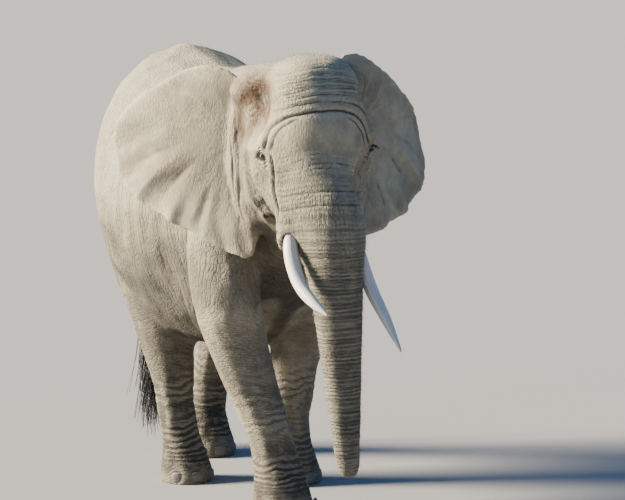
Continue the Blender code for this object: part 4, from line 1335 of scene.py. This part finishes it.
def tusk(side):
    """A tusk with the lengthwise directions that its grain follows."""
    piece = rounded("tusk_" + side, 2)
    places = places_of(piece.data)
    slimming, root_depth, slice_half = 0.003, 0.03, 0.04
    root = places[places[:, 2] > places[:, 2].max() - root_depth].mean(0)
    tip = places[np.argmin(places[:, 2])]
    chord = tip - root
    full = np.linalg.norm(chord)
    along = np.clip((places - root) @ chord / full ** 2, 0.0, 1.0)
    bins = np.linspace(0.0, 1.0, 25)
    middles = np.array([places[np.abs(along - at) < slice_half].mean(0) for at in bins])
    core = np.stack([np.interp(along, bins, middles[:, k]) for k in range(3)], 1)
    off = places - core
    side_axis = unit_vector(np.cross(chord / full, UP))
    turn = np.arctan2(off @ np.cross(side_axis, chord / full), off @ side_axis)
    store(piece.data, "along", along)
    store_vectors(piece.data, "grain", np.stack([np.cos(turn), np.sin(turn), along * full], 1))
    ridges = 0.0006 * rough(np.stack([np.cos(turn), np.sin(turn), along], 1), (0.25, 0.25, 0.8), 149)
    chips = -0.0016 * step(0.35, 0.8, noise(places, 0.02, 151)) * step(0.80, 1.0, along)
    move_to(piece.data, places + normals_of(piece.data) * (ridges + chips - slimming)[:, None])
    return piece


def nail(node):
    """A broad flat toenail with growth ridges and a worn lower edge."""
    squareness, broader, flatter, curl = 0.82, 1.16, 0.62, 1.8
    piece = rounded(node, 3)
    places = places_of(piece.data)
    low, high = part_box(node)
    foot = centre_of(node.rsplit("_nail", 1)[0] + "_foot")
    middle = centre_of(node)
    out = unit_vector((middle - foot) * (1.0, 1.0, 0.0))
    across = np.cross(UP, out)
    offset = places - middle
    halves = np.array([np.abs(offset @ across).max(), (high.z - low.z) / 2.0])
    unit = np.stack([offset @ across, offset[:, 2]], 1) / halves
    unit = np.sign(unit) * np.abs(unit) ** squareness * halves * (broader, 1.0)
    thin = np.where(offset @ out > 0.0, flatter, 1.0) * (offset @ out) - curl * unit[:, 0] ** 2
    move_to(piece.data, middle + unit[:, :1] * across + unit[:, 1:] * UP + thin[:, None] * out)
    places = places_of(piece.data)
    up = (places[:, 2] - low.z) / (high.z - low.z)
    ridges = 0.0007 * np.sin(up * 34.0 + 2.5 * rough(places, 0.03, 157))
    wear = -0.0022 * step(0.0, 0.7, rough(places, 0.016, 163)) * step(0.35, 0.0, up)
    move_to(piece.data, places + normals_of(piece.data) * (ridges + wear)[:, None])
    return piece


# ---------------------------------------------------------------- hair

def hair_tree():
    """A tree that stands one tapering, bent hair on each point, along the point's own direction."""
    tree = bpy.data.node_groups.new("standing_hairs", "GeometryNodeTree")
    face = tree.interface
    face.new_socket("Geometry", in_out="INPUT", socket_type="NodeSocketGeometry")
    for name, default in (("Root Width", 0.01), ("Tip Width", 0.002), ("Bend", 0.3), ("Wave", 0.0)):
        face.new_socket(name, in_out="INPUT", socket_type="NodeSocketFloat").default_value = default
    face.new_socket("Sections", in_out="INPUT", socket_type="NodeSocketInt").default_value = 5
    face.new_socket("Material", in_out="INPUT", socket_type="NodeSocketMaterial")
    face.new_socket("Geometry", in_out="OUTPUT", socket_type="NodeSocketGeometry")

    def add(kind, options=None, **inputs):
        return new_node(tree, kind, options, inputs)

    def math_of(operation, first, second):
        node = add("ShaderNodeMath", {"operation": operation})
        fill(tree, node.inputs[0], first)
        fill(tree, node.inputs[1], second)
        return node.outputs[0]

    def kept(name, kind):
        return add("GeometryNodeInputNamedAttribute", {"data_type": kind}, Name=name).outputs["Attribute"]

    given = add("NodeGroupInput").outputs
    cone = add("GeometryNodeMeshCone", {"fill_type": "TRIANGLE_FAN"}, Vertices=4,
               Side_Segments=given["Sections"], Fill_Segments=1, Radius_Top=given["Tip Width"],
               Radius_Bottom=given["Root Width"], Depth=1.0)
    apart = add("ShaderNodeSeparateXYZ", Vector=add("GeometryNodeInputPosition").outputs[0]).outputs
    height = apart["Z"]
    bend = math_of("MULTIPLY", math_of("MULTIPLY", height, height), given["Bend"])
    swing = math_of("MULTIPLY", math_of("SINE", math_of("MULTIPLY", height, 8.0), 0.0),
                    math_of("MULTIPLY", height, given["Wave"]))
    offset = add("ShaderNodeCombineXYZ", X=bend, Y=swing).outputs[0]
    marked = add("GeometryNodeStoreNamedAttribute", {"data_type": "FLOAT", "domain": "POINT"},
                 Geometry=cone.outputs[0], Name="tip", Value=height).outputs[0]
    strand = add("GeometryNodeSetPosition", Geometry=marked, Offset=offset).outputs[0]
    lie = add("FunctionNodeAlignRotationToVector", {"axis": "Z"},
              Vector=kept("lie", "FLOAT_VECTOR")).outputs[0]
    turn = add("FunctionNodeAlignRotationToVector", {"axis": "X", "pivot_axis": "Z"}, Rotation=lie,
               Vector=kept("bend_to", "FLOAT_VECTOR")).outputs[0]
    long = kept("long", "FLOAT")
    scale = add("ShaderNodeCombineXYZ", X=long, Y=long, Z=long).outputs[0]
    stood = add("GeometryNodeInstanceOnPoints", Points=given["Geometry"], Instance=strand, Rotation=turn,
                Scale=scale).outputs[0]
    real = add("GeometryNodeRealizeInstances", Geometry=stood).outputs[0]
    patch = add("ShaderNodeCombineXYZ", X=math_of("MULTIPLY", kept("tip", "FLOAT"), HAIR_PATCH)).outputs[0]
    place = add("ShaderNodeVectorMath", {"operation": "ADD"})
    tree.links.new(kept("root_map", "FLOAT_VECTOR"), place.inputs[0])
    tree.links.new(patch, place.inputs[1])
    mapped = add("GeometryNodeStoreNamedAttribute", {"data_type": "FLOAT2", "domain": "CORNER"},
                 Geometry=real, Name="OFBake", Value=place.outputs[0]).outputs[0]
    shown = add("GeometryNodeSetMaterial", Geometry=mapped, Material=given["Material"]).outputs[0]
    tree.links.new(shown, add("NodeGroupOutput").inputs["Geometry"])
    return tree


def unwrapped(points, axis_point):
    """Places of skin points on an unwrap: the turn about an upright axis, and the height."""
    margin, span, headroom = 0.01, 0.97, 1.02
    offset = points - axis_point
    turn = np.arctan2(offset[:, 0], -offset[:, 1]) / (2.0 * np.pi) + 0.5
    height = np.clip(points[:, 2] / (CAD_BOX[1][2] * headroom), 0.0, 1.0)
    return np.stack([margin + span * turn, margin + span * height, np.zeros(len(points))], 1)


def hairs(name, roots, lie, bend_to, long, material, **shape):
    """One mesh of many hairs, each from its root along its own direction."""
    points = bpy.data.meshes.new(name)
    points.from_pydata(roots.tolist(), [], [])
    store_vectors(points, "lie", lie)
    store_vectors(points, "bend_to", bend_to)
    store_vectors(points, "root_map", unwrapped(roots, HEAD.middle))
    store(points, "long", long)
    piece = object_of(name, points)
    tree = bpy.data.node_groups.get("standing_hairs") or hair_tree()
    modifier = piece.modifiers.new("hairs", "NODES")
    modifier.node_group = tree
    names = {item.name: item.identifier for item in tree.interface.items_tree if item.in_out == "INPUT"}
    for socket, value in shape.items():
        modifier[names[socket.replace("_", " ")]] = value
    modifier[names["Material"]] = material
    applied(piece)
    smooth_shaded(piece.data)
    return piece


def tail_hairs(size, material):
    """Long wiry hairs that hang from the front and back edges and the end of the tail."""
    random = np.random.default_rng(5)
    number = size.tail_hairs
    tree, _ = node_tree(["tail"])
    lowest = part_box("tail_tuft")[0].z
    rise = random.random(number) ** 1.6 * 0.30
    edge = np.where(random.random(number) < 0.5, 1.0, -1.0)
    turn = random.normal(0.0, 0.65, number)
    roots, outs = [], []
    for up, side, about in zip(rise, edge, turn):
        out = Vector((math.sin(about), side * math.cos(about), 0.0))
        aim = Vector((TAIL_END[0], TAIL_END[1], TAIL_END[2] + up)) + 0.10 * out
        place = tree.find_nearest(aim)[0]
        roots.append(place - 0.002 * out)
        outs.append(out)
    roots, outs = np.array(roots), np.array(outs)
    long = size.tail_hair * (0.70 + 0.30 * random.random(number)) * (1.0 - 0.3 * rise)
    strand = random.integers(0, STRANDS, number)
    ends = random.uniform(0.75, 1.28, STRANDS)[strand] * random.uniform(0.92, 1.0, number)
    long = np.minimum(long, (roots[:, 2] - lowest) * ends)
    lie = np.array((-0.03, 0.0, -1.0)) + outs * (0.01 + 0.03 * random.random(number))[:, None]
    lie[:, :2] += random.normal(0.0, 0.046, (STRANDS, 2))[strand] + random.normal(0.0, 0.009, (number, 2))
    bend_to = random.normal(0.0, 1.0, (number, 3)) + outs
    return hairs("tail_hairs", roots, lie, bend_to, long, material, Root_Width=0.0046, Tip_Width=0.0014,
                 Bend=0.060, Wave=0.034, Sections=10)


def lashes(side, size, eyes, material):
    """Long lashes that stand out from the upper lid and droop, and a few from the lower."""
    random = np.random.default_rng(11 if side == "left" else 12)
    eye = EyeFrame(side)
    number = size.lashes
    upper = random.random(number) < 0.75
    along = eyes.opening_width * random.uniform(-0.92, 0.92, number)
    top, bottom = lid_edges(along, eyes)
    level = np.where(upper, top + 0.0012, bottom - 0.0012)
    shell = eye.radius + 0.8 * eyes.lid
    depth = np.sqrt(np.maximum(shell ** 2 - along ** 2 - level ** 2, 0.0))
    roots = np.array([eye.world(a, b, c - 0.001) for a, b, c in zip(along, level, depth)])
    fan = along / eyes.opening_width
    drop = np.where(upper, -0.30, -0.75)
    lie = eye.out + fan[:, None] * 0.55 * eye.forward + drop[:, None] * eye.up
    lie = lie + random.normal(0.0, 0.10, (number, 3))
    bend_to = np.tile(-eye.up, (number, 1))
    long = size.lash * np.where(upper, 1.0, 0.55) * random.uniform(0.6, 1.0, number)
    return hairs("lashes_" + side, roots, lie, bend_to, long, material, Root_Width=0.013, Tip_Width=0.004,
                 Bend=0.28, Sections=5)


def bristles(skin, size, material):
    """Sparse stiff hairs on the crown, chin, trunk, back and tail, leaning down and back."""
    random = np.random.default_rng(21)
    mesh = skin.data
    places, normals = places_of(mesh), normals_of(mesh)
    corners = np.empty(len(mesh.loops), np.int32)
    mesh.loops.foreach_get("vertex_index", corners)
    triangles = corners.reshape(-1, 3)
    sides = places[triangles]
    area = np.linalg.norm(np.cross(sides[:, 1] - sides[:, 0], sides[:, 2] - sides[:, 0]), axis=1)
    weight = area * stored(mesh, "hairy")[triangles].mean(1) ** 2
    chosen = triangles[random.choice(len(triangles), size.bristles, p=weight / weight.sum())]
    shares = random.dirichlet((1.0, 1.0, 1.0), size.bristles)
    roots = (places[chosen] * shares[:, :, None]).sum(1)
    facing = (normals[chosen] * shares[:, :, None]).sum(1)
    facing /= np.maximum(np.linalg.norm(facing, axis=1), 1e-9)[:, None]
    hang = np.array((0.0, 0.35, -0.75))
    lie = facing + hang - facing * (facing @ hang)[:, None] + random.normal(0.0, 0.22, (size.bristles, 3))
    bend_to = np.tile(hang, (size.bristles, 1))
    long = size.bristle_length * random.uniform(0.45, 1.0, size.bristles)
    return hairs("bristles", roots - 0.001 * facing, lie, bend_to, long, material, Root_Width=0.017,
                 Tip_Width=0.005, Bend=0.20, Sections=3)


# ---------------------------------------------------------------- stage

def flat_floor(tone):
    """A plain floor that reaches as far as the camera sees."""
    reach = 130.0
    bm = bmesh.new()
    bmesh.ops.create_grid(bm, x_segments=8, y_segments=8, size=reach)
    floor = object_of("floor", bpy.data.meshes.new("floor"))
    bm.to_mesh(floor.data)
    bm.free()
    floor.data.materials.append(floor_finish(tone))


def direction(side, rise):
    """From the animal: side is measured from straight ahead towards its right."""
    return Vector((-math.sin(side) * math.cos(rise), -math.cos(side) * math.cos(rise), math.sin(rise)))


def broad_light(name, towards, softness, strength, tint):
    """A main light that shines from one side with soft edges to its shadows."""
    light = bpy.data.lights.new(name, "SUN")
    light.angle = softness
    light.energy = strength
    light.color = tint
    lamp = bpy.data.objects.new(name, light)
    bpy.context.scene.collection.objects.link(lamp)
    lamp.rotation_euler = towards.to_track_quat("Z", "Y").to_euler()


def even_light(size):
    """Light of one colour from all round."""
    world = bpy.data.worlds.new("even_light")
    world.use_nodes = True
    inputs = world.node_tree.nodes["Background"].inputs
    inputs["Color"].default_value = (*size.sky_tint, 1.0)
    inputs["Strength"].default_value = size.sky
    return world


def camera(aim, size):
    """A long lens far away that looks at one place."""
    towards = direction(size.side, size.rise)
    view = bpy.data.cameras.new("camera")
    view.lens = size.lens
    view.sensor_width = 36.0
    view.clip_end = 400.0
    stand = bpy.data.objects.new("camera", view)
    bpy.context.scene.collection.objects.link(stand)
    turned = towards.to_track_quat("Z", "Y").to_matrix().to_4x4() @ Matrix.Rotation(size.lean, 4, "Z")
    turned.translation = aim + towards * size.distance
    stand.matrix_world = turned
    bpy.context.scene.camera = stand


# ---------------------------------------------------------------- operators

class ELEPHANT_OT_skin(bpy.types.Operator):
    """Build the hide with its folds, lids, ears and trunk"""
    bl_idname = "elephant.skin"
    bl_label = "Skin"

    def execute(self, context):
        size = context.scene.elephant_skin
        skin = sculpted_skin(size, context.scene.elephant_eyes)
        placed(skin, "hide", hide_finish(size), *FLESH)
        return {"FINISHED"}


class ELEPHANT_OT_eyes(bpy.types.Operator):
    """Build the eyeballs"""
    bl_idname = "elephant.eyes"
    bl_label = "Eyes"

    def execute(self, context):
        size = context.scene.elephant_eyes
        material = eye_finish(size)
        for side in SIDES:
            placed(eyeball(side, size), "eye", material, "eye_" + side)
        return {"FINISHED"}


class ELEPHANT_OT_tusks(bpy.types.Operator):
    """Build the tusks"""
    bl_idname = "elephant.tusks"
    bl_label = "Tusks"

    def execute(self, context):
        material = ivory_finish(context.scene.elephant_ivory)
        for side in SIDES:
            placed(tusk(side), "ivory", material, "tusk_" + side)
        return {"FINISHED"}


class ELEPHANT_OT_nails(bpy.types.Operator):
    """Build the toenails"""
    bl_idname = "elephant.nails"
    bl_label = "Nails"

    def execute(self, context):
        material = nail_finish(context.scene.elephant_ivory)
        for node in NAILS:
            placed(nail(node), "nail", material, node)
        return {"FINISHED"}


class ELEPHANT_OT_hair(bpy.types.Operator):
    """Build the tail hairs, the lashes and the bristles; the skin has to be there"""
    bl_idname = "elephant.hair"
    bl_label = "Hair"

    def execute(self, context):
        size = context.scene.elephant_hair
        skin = bpy.data.objects.get("skin")
        if skin is None:
            raise RuntimeError("Build the skin before the hair")
        dark = hair_finish("black_hair", size.dark)
        placed(tail_hairs(size, dark), "hair", dark, "tail_tuft")
        for side in SIDES:
            placed(lashes(side, size, context.scene.elephant_eyes, dark), "hair", dark)
        stiff = hair_finish("stiff_bristle", size.bristle)
        placed(bristles(skin, size, stiff), "hair", stiff)
        return {"FINISHED"}


class ELEPHANT_OT_stage(bpy.types.Operator):
    """Set up the plain floor, the soft lights and the camera"""
    bl_idname = "elephant.stage"
    bl_label = "Stage"

    def execute(self, context):
        size = context.scene.elephant_stage
        flat_floor(size.floor)
        broad_light("key", direction(size.key_side, size.key_rise), size.softness, size.key, size.key_tint)
        context.scene.world = even_light(size)
        camera(HEAD.world(AIM), size)
        return {"FINISHED"}


STEPS = (ELEPHANT_OT_skin, ELEPHANT_OT_eyes, ELEPHANT_OT_tusks, ELEPHANT_OT_nails, ELEPHANT_OT_hair,
         ELEPHANT_OT_stage)
SETTINGS = {"elephant_skin": SkinSettings, "elephant_eyes": EyeSettings, "elephant_ivory": IvorySettings,
            "elephant_hair": HairSettings, "elephant_stage": StageSettings}


class ELEPHANT_PT_panel(bpy.types.Panel):
    """Lists the steps and the settings that they read"""
    bl_idname = "ELEPHANT_PT_panel"
    bl_label = "African elephant"
    bl_space_type = "VIEW_3D"
    bl_region_type = "UI"
    bl_category = "Elephant"

    def draw(self, context):
        for step_class in STEPS:
            self.layout.operator(step_class.bl_idname)
        for name, group in SETTINGS.items():
            box = self.layout.box()
            box.label(text=group.__name__)
            for setting in group.__annotations__:
                box.prop(getattr(context.scene, name), setting)


def register():
    for kind in (*SETTINGS.values(), *STEPS, ELEPHANT_PT_panel):
        bpy.utils.register_class(kind)
    for name, group in SETTINGS.items():
        setattr(bpy.types.Scene, name, PointerProperty(type=group))


def unregister():
    for name in SETTINGS:
        delattr(bpy.types.Scene, name)
    for kind in (ELEPHANT_PT_panel, *reversed(STEPS), *reversed(SETTINGS.values())):
        bpy.utils.unregister_class(kind)


def main():
    register()
    bpy.ops.elephant.skin()
    bpy.ops.elephant.eyes()
    bpy.ops.elephant.tusks()
    bpy.ops.elephant.nails()
    bpy.ops.elephant.hair()
    bpy.ops.elephant.stage()
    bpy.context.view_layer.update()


if __name__ == "__main__":
    main()
